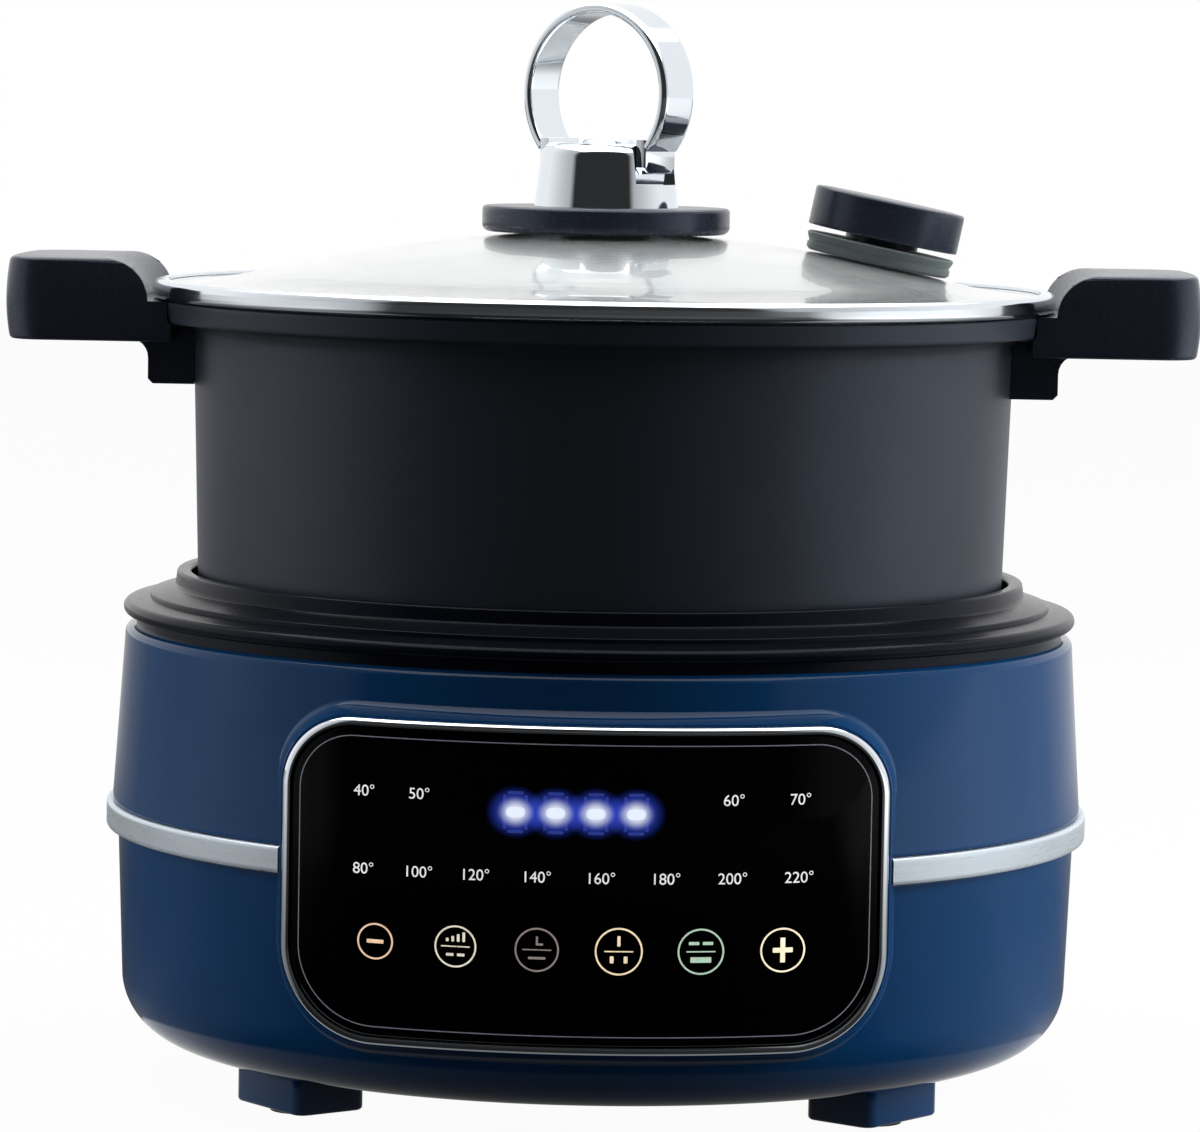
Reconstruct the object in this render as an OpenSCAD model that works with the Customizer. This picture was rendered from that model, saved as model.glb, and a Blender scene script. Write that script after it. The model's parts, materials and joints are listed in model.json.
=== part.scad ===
// Electric multicooker: a round heating base with a touch panel, a lift-out pot with
// two side handles, and a domed glass lid with a folding ring handle and a steam vent.
// Millimetres, +Z up. The origin is on the table under the middle of the base, and the
// touch panel faces -Y.

/* [Pot] */
// Outer radius of the pot wall under its rim
pot_r = 127.4; // [115:0.2:145]
// Height of the pot, from its underside to the top of its rim
pot_h = 138.2; // [115:0.2:170]
// Wall thickness of the pot
pot_t = 3; // [2:0.1:4]
// Thickness of the pot's floor
pot_floor_t = 4; // [3:0.1:6]
// How much narrower the pot is at the foot of its wall
pot_draft = 3.2; // [1:0.1:6]
// Radius of the pot's rounded bottom edge
pot_round = 12; // [8:0.5:20]
// How far the rim stands out of the pot wall
rim_w = 10.9; // [8:0.1:14]
// Height of the rim
rim_h = 6.7; // [5:0.1:10]
// Radius of the cove under the rim
rim_cove = 5; // [2:0.1:6]
// Width of the rim's flat top
rim_land = 3.8; // [3:0.1:5]
// Thickness of the rim under the seat that takes the lid's skirt
rim_seat_t = 2.3; // [1.6:0.1:3]

/* [Pot handles] */
// How far a handle reaches out of the rim
handle_reach = 46.2; // [40:0.2:60]
// Height of the handle's top above the rim
handle_rise = 12.8; // [9:0.2:18]
// Height of the grip
grip_h = 25.2; // [22:0.1:32]
// Width of the grip
grip_w = 80; // [70:1:95]
// Corner radius of the grip's outer end
grip_corner = 16; // [10:0.5:22]
// Rounding of the grip's top where it turns down to the lid
grip_turn = 10; // [6:0.2:11]
// Rounding of the grip's long edges
grip_edge = 2.4; // [1:0.1:4]
// Wall left around the finger pocket under the grip
grip_wall = 6; // [4:0.2:8]
// Width of the bracket that carries the grip
bracket_w = 33.4; // [28:0.2:44]
// How far the bracket stands out of the pot wall
bracket_out = 13.2; // [12.6:0.2:18]
// How far the bracket reaches below the grip
bracket_drop = 13.9; // [12:0.1:20]
// Fillet between the bracket and the grip
bracket_fillet = 6; // [3:0.2:8]
// Width of the steel lug inside the bracket
lug_w = 18; // [14:0.2:22]
// Height of the steel lug inside the bracket
lug_h = 8; // [6:0.2:9]

/* [Lid] */
// How far the lid's steel rim overhangs the pot's rim
lid_overhang = 1.9; // [1:0.1:3]
// Thickness of the lid glass
lid_t = 4; // [3:0.1:5]
// Radius of the glass dome
dome_r = 430; // [390:1:600]
// Distance from the lid's edge to the line where the dome turns into the flare
dome_margin = 31.8; // [28:0.1:36]
// Sheet thickness of the steel rim
lid_rim_t = 0.8; // [0.6:0.1:1.2]
// Width of the steel rim's lip over the glass
lid_lip_w = 4.4; // [3:0.1:5]
// Clearance under the steel rim's skirt inside the pot
lid_skirt_clear = 0.8; // [0.4:0.1:2]

/* [Knob and ring handle] */
// Radius of the black knob base
knob_base_r = 38.5; // [34:0.5:44]
// Height of the knob base's top above the glass
knob_base_h = 7.9; // [7:0.1:11]
// Radius of the chrome hub at its foot
hub_r = 22.4; // [21:0.1:26]
// How much narrower the hub is at its shoulder
hub_draft = 1.8; // [1:0.1:3]
// Height of the hub
hub_h = 19.8; // [17:0.1:26]
// Radius of the raised disc on top of the hub
hub_disc_r = 8.6; // [6:0.1:10]
// Height of the raised disc on top of the hub
hub_disc_h = 1.1; // [0.6:0.1:1.8]
// Rounding of the hub's shoulder
hub_round = 4; // [2:0.1:5]
// Outer radius of the ring
ring_r = 28; // [26.5:0.1:32]
// Thickness of the ring's band
ring_t = 3.2; // [2.4:0.1:3.6]
// Width of the ring's band
ring_w = 15.5; // [12:0.1:18]
// Height of the ring's middle above the hub's top
ring_lift = 15.3; // [14:0.1:18]
// Depth of the ring's pivot below the hub's top
pivot_drop = 3.8; // [3:0.1:5]
// Radius of the pivot pin
pivot_r = 1.6; // [1.2:0.1:2]
// Half the distance between the hub's two flats
hub_flat = 16.8; // [15:0.1:18]
// Turn of the ring handle about the vertical, in degrees
ring_turn = -36; // [-90:1:90]
// Radius of the screw that holds the knob
knob_screw_r = 3; // [2:0.1:4]

/* [Steam vent] */
// Distance from the edge of the dome to the vent's middle
vent_margin = 24; // [22:0.1:30]
// Radius of the vent cap
vent_r = 23.5; // [18:0.1:24]
// Height of the vent cap
vent_cap_h = 13; // [9:0.1:17]
// Height of the vent seat
vent_seat_h = 6; // [4:0.1:8]
// Height of the steam gap under the cap
vent_gap = 2; // [1.2:0.1:3]
// Radius of the boss that the cap turns on
vent_boss_r = 11.4; // [9:0.1:13]
// Radius of the vent's stem through the glass
vent_stem_r = 7; // [6:0.1:8]
// Radius of the steam bore through the stem
vent_bore_r = 2.5; // [1.5:0.1:3]

/* [Base housing] */
// Height of the feet under the base
foot_h = 14; // [8:0.1:18]
// Height of the lower housing below the trim band
lower_h = 65.6; // [60:0.1:80]
// Height of the trim band
band_h = 8.3; // [5:0.1:10]
// Height of the upper housing above the trim band
upper_h = 54.5; // [52:0.1:70]
// Space from the pot wall to the outside of the upper housing
body_gap = 23.6; // [22:0.1:30]
// How far the lower housing steps in under the band
waist_step = 1.8; // [0.5:0.1:3]
// How much the lower housing narrows towards its foot
lower_draft = 1.6; // [0.5:0.1:4]
// How much the upper housing narrows towards its top
shoulder_draft = 3.4; // [2:0.1:5]
// Radius of the rounded bottom edge
bottom_round = 20; // [12:0.5:22]
// Wall thickness of both housings
shell_t = 3; // [2.4:0.1:4]
// How far the trim band stands out of the upper housing
band_proud = 1.9; // [1:0.1:3]
// Depth of the groove that holds the trim band, below the lower housing's face
band_groove = 0.6; // [0.4:0.1:1]
// Rounding of the upper housing's top edge
shoulder_round = 2.6; // [1:0.1:2.9]
// Width of the opening's margin in the bottom, from the wall to the bottom cover
bottom_rim_w = 27; // [23:0.5:32]
// Length of a foot block, outwards
foot_l = 25; // [20:1:30]
// Width of a foot block
foot_w = 36; // [28:1:42]
// Corner radius of a foot block
foot_corner = 4; // [2:0.5:8]
// Distance of the foot blocks' outer faces inside the body's side
foot_inset = 25.1; // [22:0.1:34]
// Angle of the feet from the line between the pot's handles
foot_turn = 38; // [30:1:60]
// Radius of the rubber pads
pad_r = 9; // [7:0.5:11]
// How far the pads stand out of the feet
pad_proud = 1.4; // [1:0.1:2.5]

/* [Collar and well] */
// How far the pot's underside sits below the top of the base
well_depth = 37.4; // [32:0.2:42]
// Clearance round the pot in the collar's lip
well_clear = 1.8; // [1.2:0.1:3]
// Height of the collar's lip above the base
lip_h = 17; // [14:0.2:22]
// Thickness of the collar's lip
lip_t = 4.6; // [3.5:0.1:6]
// Height of the shadow gap between the base and the collar
collar_gap = 3.2; // [2:0.1:5]
// Thickness of the collar's edge
collar_edge_t = 4.4; // [3.4:0.1:6]
// How far the collar's edge stands out of the housing's top edge
collar_proud = 0.6; // [0:0.1:1.5]
// Rise of the collar's step towards the lip
collar_rise = 4.2; // [3:0.1:5]
// Depth of the collar's skirt inside the housing
collar_skirt_h = 11.4; // [8:0.1:14]
// Sheet thickness of the liner
liner_t = 1; // [0.8:0.1:1.5]

/* [Heating] */
// Radius of the heating plate
plate_r = 112; // [104:0.5:118]
// Thickness of the heating plate
plate_t = 8.8; // [8:0.1:12]
// Width of the liner's ledge under the plate
plate_ledge = 14; // [12:0.5:18]
// Radius of the heating element's ring
heater_r = 84; // [70:0.5:88]
// Radius of the heating element's tube
heater_tube_r = 4.2; // [3.5:0.1:4.6]
// How far the tube stands out of the plate's underside
heater_proud = 2.7; // [1.5:0.1:3]
// Radius of the temperature sensor's cap
sensor_r = 15.5; // [12:0.1:18]
// Radius of the sensor's stem
sensor_stem_r = 4; // [3:0.1:5]
// Depth of the sensor's guide below the plate
guide_h = 29; // [26:0.5:36]
// Radius of the sensor spring's coil
spring_r = 9; // [7.5:0.1:10]
// Radius of the spring's wire
spring_wire_r = 0.9; // [0.6:0.1:1.1]
// Turns of the sensor spring
spring_turns = 5; // [3:1:6]

/* [Touch panel] */
// Width of the panel
panel_w = 177; // [160:1:190]
// Height of the panel
panel_h = 95.3; // [84:0.1:100]
// Distance of the panel's middle below the trim band's
panel_drop = 3.2; // [0:0.1:5]
// Corner radius of the panel
panel_corner = 24; // [16:0.5:25]
// Radius of the panel's curve, flatter than the base
panel_curve = 175; // [165:1:230]
// How far the panel stands out of the base at its middle
panel_proud = 3.2; // [2.8:0.1:6]
// Width of the chrome frame
frame_w = 2.4; // [2:0.1:5]
// Depth of the chrome frame
frame_depth = 7; // [6:0.1:8]
// How far the frame stands out of the housing's boss
frame_proud = 2.2; // [1:0.1:3]
// Thickness of the panel glass
glass_t = 3; // [2:0.1:4]
// How far the glass lies behind the frame's face
glass_inset = 0.9; // [0.5:0.1:1.5]
// Margin of the blue boss round the frame
boss_margin = 1.2; // [0.8:0.1:3]
// Wall of the panel carrier
carrier_t = 3; // [2:0.1:4]
// Width of the display
display_w = 56; // [46:1:66]
// Height of the display
display_h = 22; // [18:0.5:26]
// Height of the display's middle above the panel's middle
display_up = 22.4; // [14:0.1:25]
// Distance of the touch buttons' row below the panel's middle
button_down = 17.3; // [15:0.1:27]
// Distance between neighbouring touch buttons
button_pitch = 23.4; // [20:0.1:24]
// Number of touch buttons
button_count = 6; // [4:1:6]

/* [Power inlet] */
// Height of the inlet's middle above the bottom of the base
inlet_up = 36; // [32:1:44]
// Width of the inlet's flange
inlet_w = 42; // [38:0.5:48]
// Height of the inlet's flange
inlet_h = 30; // [26:0.5:34]
// Width of the inlet's socket
socket_w = 24.4; // [22:0.1:26]
// Height of the inlet's socket
socket_h = 16.6; // [15:0.1:18]
// Depth of the inlet's socket
socket_depth = 20; // [17:0.5:22]
// Wall round the inlet's socket
socket_wall = 1.6; // [1.2:0.1:2.4]
// Distance of the pins' tips behind the inlet's face
pin_inset = 6; // [5:0.1:8]

/* [Fits] */
// Clearance between fixed pieces
fit = 0.15; // [0.1:0.01:0.25]
// Radial clearance of a piece that turns or slides in a bore
run_fit = 0.06; // [0.03:0.01:0.1]
// Clearance between pieces that come apart
lift_gap = 0.3; // [0.2:0.05:0.5]

/* [Hidden] */
$fn = 96;
hull_fn = 32;
eps = 0.05;

// Base heights and radii
base_z = foot_h;
band_z = base_z + lower_h;
upper_z = band_z + band_h;
body_top = upper_z + upper_h;
split_z = band_z + band_h / 2;
body_r = pot_r + body_gap;
waist_r = body_r - waist_step;
lower_r = waist_r - lower_draft;
shoulder_r = body_r - shoulder_draft;
groove_r = waist_r - band_groove;
tongue_t = 2.4;
tongue_r = groove_r - tongue_t;
band_r = body_r + band_proud;
cover_r = lower_r - bottom_rim_w;
cover_lap = 5;
cover_rim_w = 20;
cover_rib_h = 2;
cover_boss_r = 5;
cover_boss_h = 8;
slot_w = 3;
slot_l = 22;
floor_z = base_z + shell_t;

// Pot and lid heights and radii
pot_z = body_top - well_depth;
rim_z = pot_z + pot_h;
rim_r = pot_r + rim_w;
seat_r = rim_r - rim_land;
seat_z = rim_z - rim_h + rim_seat_t;
pot_low_r = pot_r - pot_draft;
wall_top_z = rim_z - rim_h - rim_cove;
lid_z = rim_z + lift_gap;
lid_r = rim_r + lid_overhang;
glass_z = lid_z + lid_rim_t + fit;
glass_edge_r = lid_r - lid_rim_t - fit;
flare_r = glass_edge_r - lid_lip_w;
dome_edge_r = lid_r - dome_margin;
dome_slope = asin(dome_edge_r / dome_r);
flare_round = (flare_r - dome_edge_r) / sin(dome_slope);
glass_top_z = glass_z + lid_t;
apex_z = glass_top_z + (dome_r + flare_round) * (1 - cos(dome_slope));

// Collar and well
lip_z = body_top + lip_h;
well_r = pot_wall_r(lip_z) + well_clear;
lip_r = well_r + lip_t;
collar_r = shoulder_r + collar_proud;
collar_edge_z = body_top + collar_gap;
ledge_w = 5;
neck_inset = 0.8;
neck_r = shoulder_r - shoulder_round - neck_inset;
ledge_r = neck_r - ledge_w;
skirt_z = body_top - collar_skirt_h;
skirt_outer_r = ledge_r - fit;
skirt_wall = 3;
skirt_foot = 5;
plate_top = pot_z - lift_gap;
plate_z = plate_top - plate_t;
liner_r = well_r + liner_t;
liner_hole_r = plate_r - plate_ledge;
liner_flange_r = skirt_outer_r;

// Knob, ring and vent
gasket_t = 1.2;
gasket_r = 12;
knob_seat_z = apex_z + gasket_t;
knob_top_z = apex_z + knob_base_h;
hub_top_z = knob_top_z + hub_h;
hub_top_r = hub_r - hub_draft;
pivot_z = hub_top_z - pivot_drop;
ring_z = hub_top_z + ring_lift;
ring_in_r = ring_r - ring_t;
ear_x = hub_flat + lift_gap;
ear_extra = 0.4;
ear_t = ring_t + ear_extra;
ear_r = ring_w / 2;
ear_join = 2.5;
ear_lap = 1.5;
ear_low = 5.5;
ear_chamfer = 2;
ear_reach = norm([ear_r, ear_low - ear_chamfer]);
ear_room = 2.3;
recess_half = ear_r + ear_room;
recess_z = pivot_z - ear_reach - lift_gap;
knob_screw_top = knob_top_z + hub_h * 0.62;
vent_x = dome_edge_r - vent_margin;
vent_tilt = asin(vent_x / dome_r);
vent_z = apex_z - dome_r * (1 - cos(vent_tilt));
cap_z = vent_seat_h + vent_gap;

// Touch panel: the panel's faces are cylinders about a vertical line behind the front
panel_front = body_r + panel_proud;
panel_axis_y = panel_curve - panel_front;
panel_z = split_z - panel_drop;
glass_front_r = panel_curve - glass_inset;
glass_back_r = glass_front_r - glass_t;
boss_lap = 1;
boss_inner_r = shoulder_r - shell_t - boss_lap;
carrier_inset = frame_w + fit;
board_half_w = panel_w / 2 - panel_corner;
board_half_h = panel_h / 2 - carrier_inset - carrier_t - fit;
board_y = liner_r + 2.2;
board_t = 1.6;
board_front_y = board_y + board_t;
carrier_tail = 6.4;

// Sensor and its guide
sensor_top = plate_top;
sensor_cap_t = 3;
sensor_skirt_h = 9;
guide_z = plate_z - guide_h;
guide_floor_t = 2;
guide_r = sensor_r + 4;
guide_flange_r = guide_r + 8;
sensor_hole_r = sensor_r + 1.5;
clip_t = 1.2;
clip_groove = 1;
clip_z = guide_z - clip_t - lift_gap;

// Handles, on the +X side
handle_x = rim_r + handle_reach;
handle_top = rim_z + handle_rise;
grip_z = handle_top - grip_h;
bracket_z = grip_z - bracket_drop;
bracket_x = pot_r + bracket_out;
bracket_skin = 3;
lug_z = bracket_z + bracket_skin;
lug_x = bracket_x - bracket_skin;
lid_way = 4;
handle_root = 8;
handle_screw_r = 2;
handle_screw_x = pot_r + bracket_out / 2;

// Screws and boards in the base
screw_r = 2;
screw_head_r = 4;
foot_screw_r = lower_r - foot_inset - foot_l / 2;
pad_depth = 1.1;
power_z = floor_z + 10;
power_size = [110, 76];
power_y = 30;
post_r = 4;
peg_r = 1.2;
bobbin_size = [32, 26, 4];
core_size = [28, 12, 20];
coil_size = [18, 22, 16];
relay_size = [22, 16, 17];
capacitor_r = 8;
capacitor_h = 22;
transformer_place = [-0.27, -0.16];
relay_place = [0.2, -0.18];
capacitor_place = [0.27, 0.21];
inlet_z = base_z + inlet_up;
inlet_flange_t = 1;
inlet_corner = 5;
socket_corner = 1.6;
inlet_face_y = panel_front;

// Points along an arc about a centre, from one angle to another
function arc(centre, r, from, to, steps = 8) = [
    for (i = [0 : steps])
        let (a = from + (to - from) * i / steps)
        [centre[0] + r * cos(a), centre[1] + r * sin(a)]
];

// Outer radius of the pot wall at a height
function pot_wall_r(z) =
    pot_low_r + (pot_r - pot_low_r) * (z - pot_z - pot_round) / (wall_top_z - pot_z - pot_round);

// How far forward the back of the panel glass lies at a distance from the middle
function glass_back_y(x) = sqrt(pow(glass_back_r, 2) - pow(x, 2)) - panel_axis_y;

// Centre heights of the touch buttons' row and of the display
button_z = panel_z - button_down;
display_z = panel_z + display_up;
function button_x(i) = (i - (button_count - 1) / 2) * button_pitch;

// Points of a helical wire: rings of a few corners along the coil
wire_sides = 6;
rings_per_turn = 8;
spring_low = guide_z + guide_floor_t + spring_wire_r + fit;
spring_high = sensor_top - sensor_cap_t - spring_wire_r - fit;
function spring_ring(i) = let (
    share = i / (spring_turns * rings_per_turn),
    a = 360 * spring_turns * share,
    z = spring_low + (spring_high - spring_low) * share
) [for (k = [0 : wire_sides - 1]) let (
    b = 360 * k / wire_sides,
    r = spring_r + spring_wire_r * cos(b)
) [r * cos(a), r * sin(a), z + spring_wire_r * sin(b)]];

module revolve(points) {
    rotate_extrude() polygon(points);
}

module ring_plate(outer, inner, z, h) {
    translate([0, 0, z]) difference() {
        cylinder(r = outer, h = h);
        translate([0, 0, -eps]) cylinder(r = inner, h = h + 2 * eps);
    }
}

// Block that stands on the middle of its underside
module block(size) {
    translate([-size[0] / 2, -size[1] / 2, 0]) cube(size);
}

module rounded_rect(w, h, r) {
    square([w - 2 * r, h], center = true);
    square([w, h - 2 * r], center = true);
    for (x = [-1, 1], y = [-1, 1])
        translate([x * (w / 2 - r), y * (h / 2 - r)]) circle(r = r);
}

// The lower and upper housings share the boss that carries the touch panel
module panel_outline(grow) {
    rounded_rect(panel_w + 2 * grow, panel_h + 2 * grow, panel_corner + grow);
}

// The panel's outline, run through the front of the base
module panel_prism(grow) {
    translate([0, -panel_front / 2, panel_z]) rotate([90, 0, 0])
        linear_extrude(panel_front) panel_outline(grow);
}

module panel_cylinder(r) {
    translate([0, panel_axis_y, 0]) cylinder(r = r, h = lip_z);
}

// Block on the front of both housings that the frame sits in
module panel_boss(low, high) {
    difference() {
        intersection() {
            panel_prism(boss_margin);
            panel_cylinder(panel_curve - frame_proud);
            translate([0, 0, low]) cylinder(r = 2 * panel_front, h = high - low);
        }
        cylinder(r = boss_inner_r, h = lip_z);
    }
}

// Seat of the chrome frame, and the opening behind it
module panel_recess() {
    difference() {
        panel_prism(fit);
        panel_cylinder(panel_curve - frame_depth);
    }
    panel_prism(-frame_w);
}

module upper_housing() {
    top = [shoulder_r - shoulder_round, body_top - shoulder_round];
    color([0.03, 0.07, 0.2]) difference() {
        union() {
            revolve(concat(
                [[tongue_r, split_z], [groove_r, split_z], [groove_r, upper_z], [body_r, upper_z]],
                arc(top, shoulder_round, 0, 90),
                [[ledge_r, body_top], [ledge_r, body_top - shell_t]],
                [[shoulder_r - shell_t, body_top - shell_t]]));
            panel_boss(split_z, body_top - shell_t);
        }
        panel_recess();
    }
}

module lower_housing() {
    turn = [lower_r - bottom_round, base_z + bottom_round];
    color([0.03, 0.07, 0.2]) difference() {
        union() {
            revolve(concat(
                [[cover_r, base_z]],
                arc(turn, bottom_round, -90, 0),
                [[waist_r, band_z], [groove_r, band_z], [groove_r, split_z], [tongue_r, split_z]],
                arc(turn, bottom_round - shell_t, 0, -90),
                [[cover_r, floor_z]]));
            panel_boss(base_z + bottom_round / 2, split_z);
            inlet_boss();
        }
        panel_recess();
        inlet_cutout();
    }
}

module trim_band() {
    round = 1;
    low = band_z + fit;
    high = upper_z - fit;
    color([0.75, 0.77, 0.8]) difference() {
        revolve(concat(
            [[groove_r + fit, low]],
            arc([band_r - round, low + round], round, -90, 0, 4),
            arc([band_r - round, high - round], round, 0, 90, 4),
            [[groove_r + fit, high]]));
        panel_prism(boss_margin + fit);
    }
}

module top_collar() {
    lip_round = 1.5;
    edge_round = 1.6;
    edge_top = collar_edge_z + collar_edge_t;
    step_r = (lip_r + collar_r) / 2;
    step_h = 0.9;
    step_z = edge_top + collar_rise / 2;
    step_w = 0.6;
    lip_draft = 0.4;
    roof_t = 2;
    channel_top = edge_top - roof_t;
    color([0.05, 0.05, 0.055]) revolve(concat(
        [[well_r, skirt_z]],
        arc([well_r + lip_round, lip_z - lip_round], lip_round, 180, 90, 4),
        arc([lip_r - lip_round, lip_z - lip_round], lip_round, 90, 0, 4),
        [[lip_r + lip_draft, edge_top + collar_rise]],
        [[step_r, step_z], [step_r + step_w, step_z - step_h]],
        arc([collar_r - edge_round, edge_top - edge_round], edge_round, 90, 0, 4),
        arc([collar_r - edge_round, collar_edge_z + edge_round], edge_round, 0, -90, 4),
        [[neck_r, collar_edge_z], [neck_r, body_top], [skirt_outer_r, body_top]],
        [[skirt_outer_r, skirt_z]],
        [[skirt_outer_r - skirt_foot, skirt_z], [skirt_outer_r - skirt_foot, channel_top]],
        [[well_r + skirt_wall, channel_top], [well_r + skirt_wall, skirt_z]]));
}

liner_screw_r = skirt_outer_r - skirt_foot / 2;
liner_screw_shank = 1.5;

module inner_liner() {
    color([0.62, 0.63, 0.65]) difference() {
        revolve([
            [liner_hole_r, plate_z - liner_t], [liner_r, plate_z - liner_t],
            [liner_r, skirt_z - liner_t], [liner_flange_r, skirt_z - liner_t],
            [liner_flange_r, skirt_z], [well_r, skirt_z], [well_r, plate_z], [liner_hole_r, plate_z]]);
        for (a = [45 : 90 : 315])
            rotate(a) translate([liner_screw_r, 0, skirt_z - liner_t - eps])
                cylinder(r = liner_screw_shank + fit, h = liner_t + 2 * eps);
        plate_screw_holes(plate_z - liner_t - eps, liner_t + 2 * eps);
    }
}

// Four short screws hold the liner's flange under the collar's skirt
module liner_screws() {
    head_h = 1.6;
    head_r = 2.4;
    color([0.7, 0.7, 0.72])
        for (a = [45 : 90 : 315])
            rotate(a) translate([liner_screw_r, 0, skirt_z - liner_t - head_h]) {
                cylinder(r = head_r, h = head_h);
                cylinder(r = liner_screw_shank, h = head_h + liner_t);
            }
}

plate_screw_ring = plate_r - plate_ledge / 2;
plate_skin = 3;
plate_screw_len = plate_t - plate_skin;

module plate_screw_holes(z, h) {
    for (a = [30 : 120 : 270])
        rotate(a) translate([plate_screw_ring, 0, z]) cylinder(r = screw_r + fit, h = h);
}

module heating_plate() {
    chamfer = 1;
    color([0.72, 0.72, 0.7]) difference() {
        revolve([
            [sensor_hole_r, plate_z], [plate_r, plate_z], [plate_r, plate_top - chamfer],
            [plate_r - chamfer, plate_top], [sensor_hole_r + chamfer, plate_top],
            [sensor_hole_r, plate_top - chamfer]]);
        translate([0, 0, plate_z + heater_tube_r - heater_proud])
            rotate_extrude() translate([heater_r, 0]) circle(r = heater_tube_r + fit);
        plate_screw_holes(plate_z - eps, plate_screw_len + fit + eps);
    }
}

module heating_element() {
    lead_r = heater_tube_r - 1;
    lead_h = 15;
    ring_gap = 24;
    lead_turn = ring_gap / 2 + 2;
    mid_z = plate_z + heater_tube_r - heater_proud;
    color([0.35, 0.33, 0.32]) {
        translate([0, 0, mid_z]) rotate(90 + ring_gap / 2)
            rotate_extrude(angle = 360 - ring_gap) translate([heater_r, 0]) circle(r = heater_tube_r);
        for (a = [90 - lead_turn, 90 + lead_turn])
            rotate(a) translate([heater_r, 0, mid_z - lead_h]) cylinder(r = lead_r, h = lead_h);
    }
}

module plate_screws() {
    head_h = 2.4;
    color([0.7, 0.7, 0.72])
        for (a = [30 : 120 : 270])
            rotate(a) translate([plate_screw_ring, 0, plate_z - liner_t - head_h]) {
                cylinder(r = screw_head_r, h = head_h);
                cylinder(r = screw_r, h = head_h + liner_t + plate_screw_len);
            }
}

// Fuse held against the underside of the plate by its saddle
module thermal_fuse() {
    fuse_r = 2.5;
    fuse_l = 16;
    saddle = [10, 12, 1];
    color([0.85, 0.82, 0.72]) translate([0, -(guide_flange_r + heater_r) / 2, plate_z]) {
        translate([-fuse_l / 2, 0, -fuse_r]) rotate([0, 90, 0]) cylinder(r = fuse_r, h = fuse_l);
        translate([0, 0, -saddle[2]]) block(saddle);
    }
}

module sensor_guide() {
    flange_t = 1.4;
    wall = 1.5;
    color([0.68, 0.68, 0.7]) revolve([
        [sensor_stem_r + run_fit, guide_z], [guide_r, guide_z], [guide_r, plate_z - flange_t],
        [guide_flange_r, plate_z - flange_t], [guide_flange_r, plate_z], [guide_r - wall, plate_z],
        [guide_r - wall, guide_z + guide_floor_t], [sensor_stem_r + run_fit, guide_z + guide_floor_t]]);
}

module temperature_sensor() {
    wall = 2;
    chamfer = 1;
    tip = 3;
    color([0.8, 0.8, 0.8]) revolve([
        [0, clip_z - tip], [sensor_stem_r, clip_z - tip], [sensor_stem_r, clip_z],
        [sensor_stem_r - clip_groove, clip_z], [sensor_stem_r - clip_groove, clip_z + clip_t],
        [sensor_stem_r, clip_z + clip_t], [sensor_stem_r, sensor_top - sensor_cap_t],
        [sensor_r - wall, sensor_top - sensor_cap_t], [sensor_r - wall, sensor_top - sensor_skirt_h],
        [sensor_r, sensor_top - sensor_skirt_h], [sensor_r, sensor_top - chamfer],
        [sensor_r - chamfer, sensor_top], [0, sensor_top]]);
}

// Open ring in the stem's groove: it stops the sensor at the top of its travel
module sensor_clip() {
    reach = 3;
    hole_r = sensor_stem_r - clip_groove + fit;
    color([0.6, 0.6, 0.62]) translate([0, 0, clip_z + eps])
        linear_extrude(clip_t - 2 * eps) difference() {
            circle(r = sensor_stem_r + reach);
            circle(r = hole_r);
            translate([0, -hole_r]) square([sensor_stem_r + reach + 1, 2 * hole_r]);
        }
}

module sensor_spring() {
    last = spring_turns * rings_per_turn;
    points = [for (i = [0 : last]) each spring_ring(i)];
    sides = [for (i = [0 : last - 1], k = [0 : wire_sides - 1], half = [0, 1])
        let (
            a = i * wire_sides + k,
            b = i * wire_sides + (k + 1) % wire_sides
        ) half == 0 ? [a, a + wire_sides, b] : [b, a + wire_sides, b + wire_sides]];
    first_end = [for (k = [1 : wire_sides - 2]) [0, k, k + 1]];
    s = last * wire_sides;
    last_end = [for (k = [1 : wire_sides - 2]) [s, s + k + 1, s + k]];
    turn_gap = (spring_high - spring_low) / spring_turns - 2 * spring_wire_r;
    echo("gap between the spring's turns", turn_gap);
    color([0.65, 0.65, 0.67]) polyhedron(points, concat(sides, first_end, last_end));
}

// A place on the power board is a share of its length and width from its middle
module on_power_board(share) {
    at = [share[0] * power_size[0], share[1] * power_size[1]];
    translate([at[0], power_y + at[1], power_z + board_t]) children();
}

module power_board() {
    color([0.1, 0.35, 0.2]) difference() {
        translate([0, power_y, power_z]) block([power_size[0], power_size[1], board_t]);
        power_posts() cylinder(r = peg_r + fit, h = 2 * power_z);
    }
}

module power_posts() {
    inset = 6;
    at = [power_size[0] / 2 - inset, power_size[1] / 2 - inset];
    for (x = [-1, 1], y = [-1, 1])
        translate([x * at[0], power_y + y * at[1], floor_z]) children();
}

module transformer() {
    color([0.75, 0.62, 0.2]) on_power_board(transformer_place) {
        block(bobbin_size);
        translate([0, 0, bobbin_size[2]]) block(core_size);
        translate([0, 0, bobbin_size[2] + (core_size[2] - coil_size[2]) / 2]) block(coil_size);
    }
}

module relay() {
    color([0.1, 0.2, 0.5]) on_power_board(relay_place) block(relay_size);
}

module filter_capacitor() {
    color([0.15, 0.15, 0.3]) on_power_board(capacitor_place) cylinder(r = capacitor_r, h = capacitor_h);
}

// Flat pad at the back of the lower housing for the appliance inlet
module inlet_boss() {
    margin = 2;
    front = inlet_face_y - inlet_flange_t;
    difference() {
        inlet_prism(inlet_w + 2 * margin, inlet_h + 2 * margin, inlet_corner + margin, front / 2, front);
        cylinder(r = lower_r - shell_t - boss_lap, h = body_top);
    }
}

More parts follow.
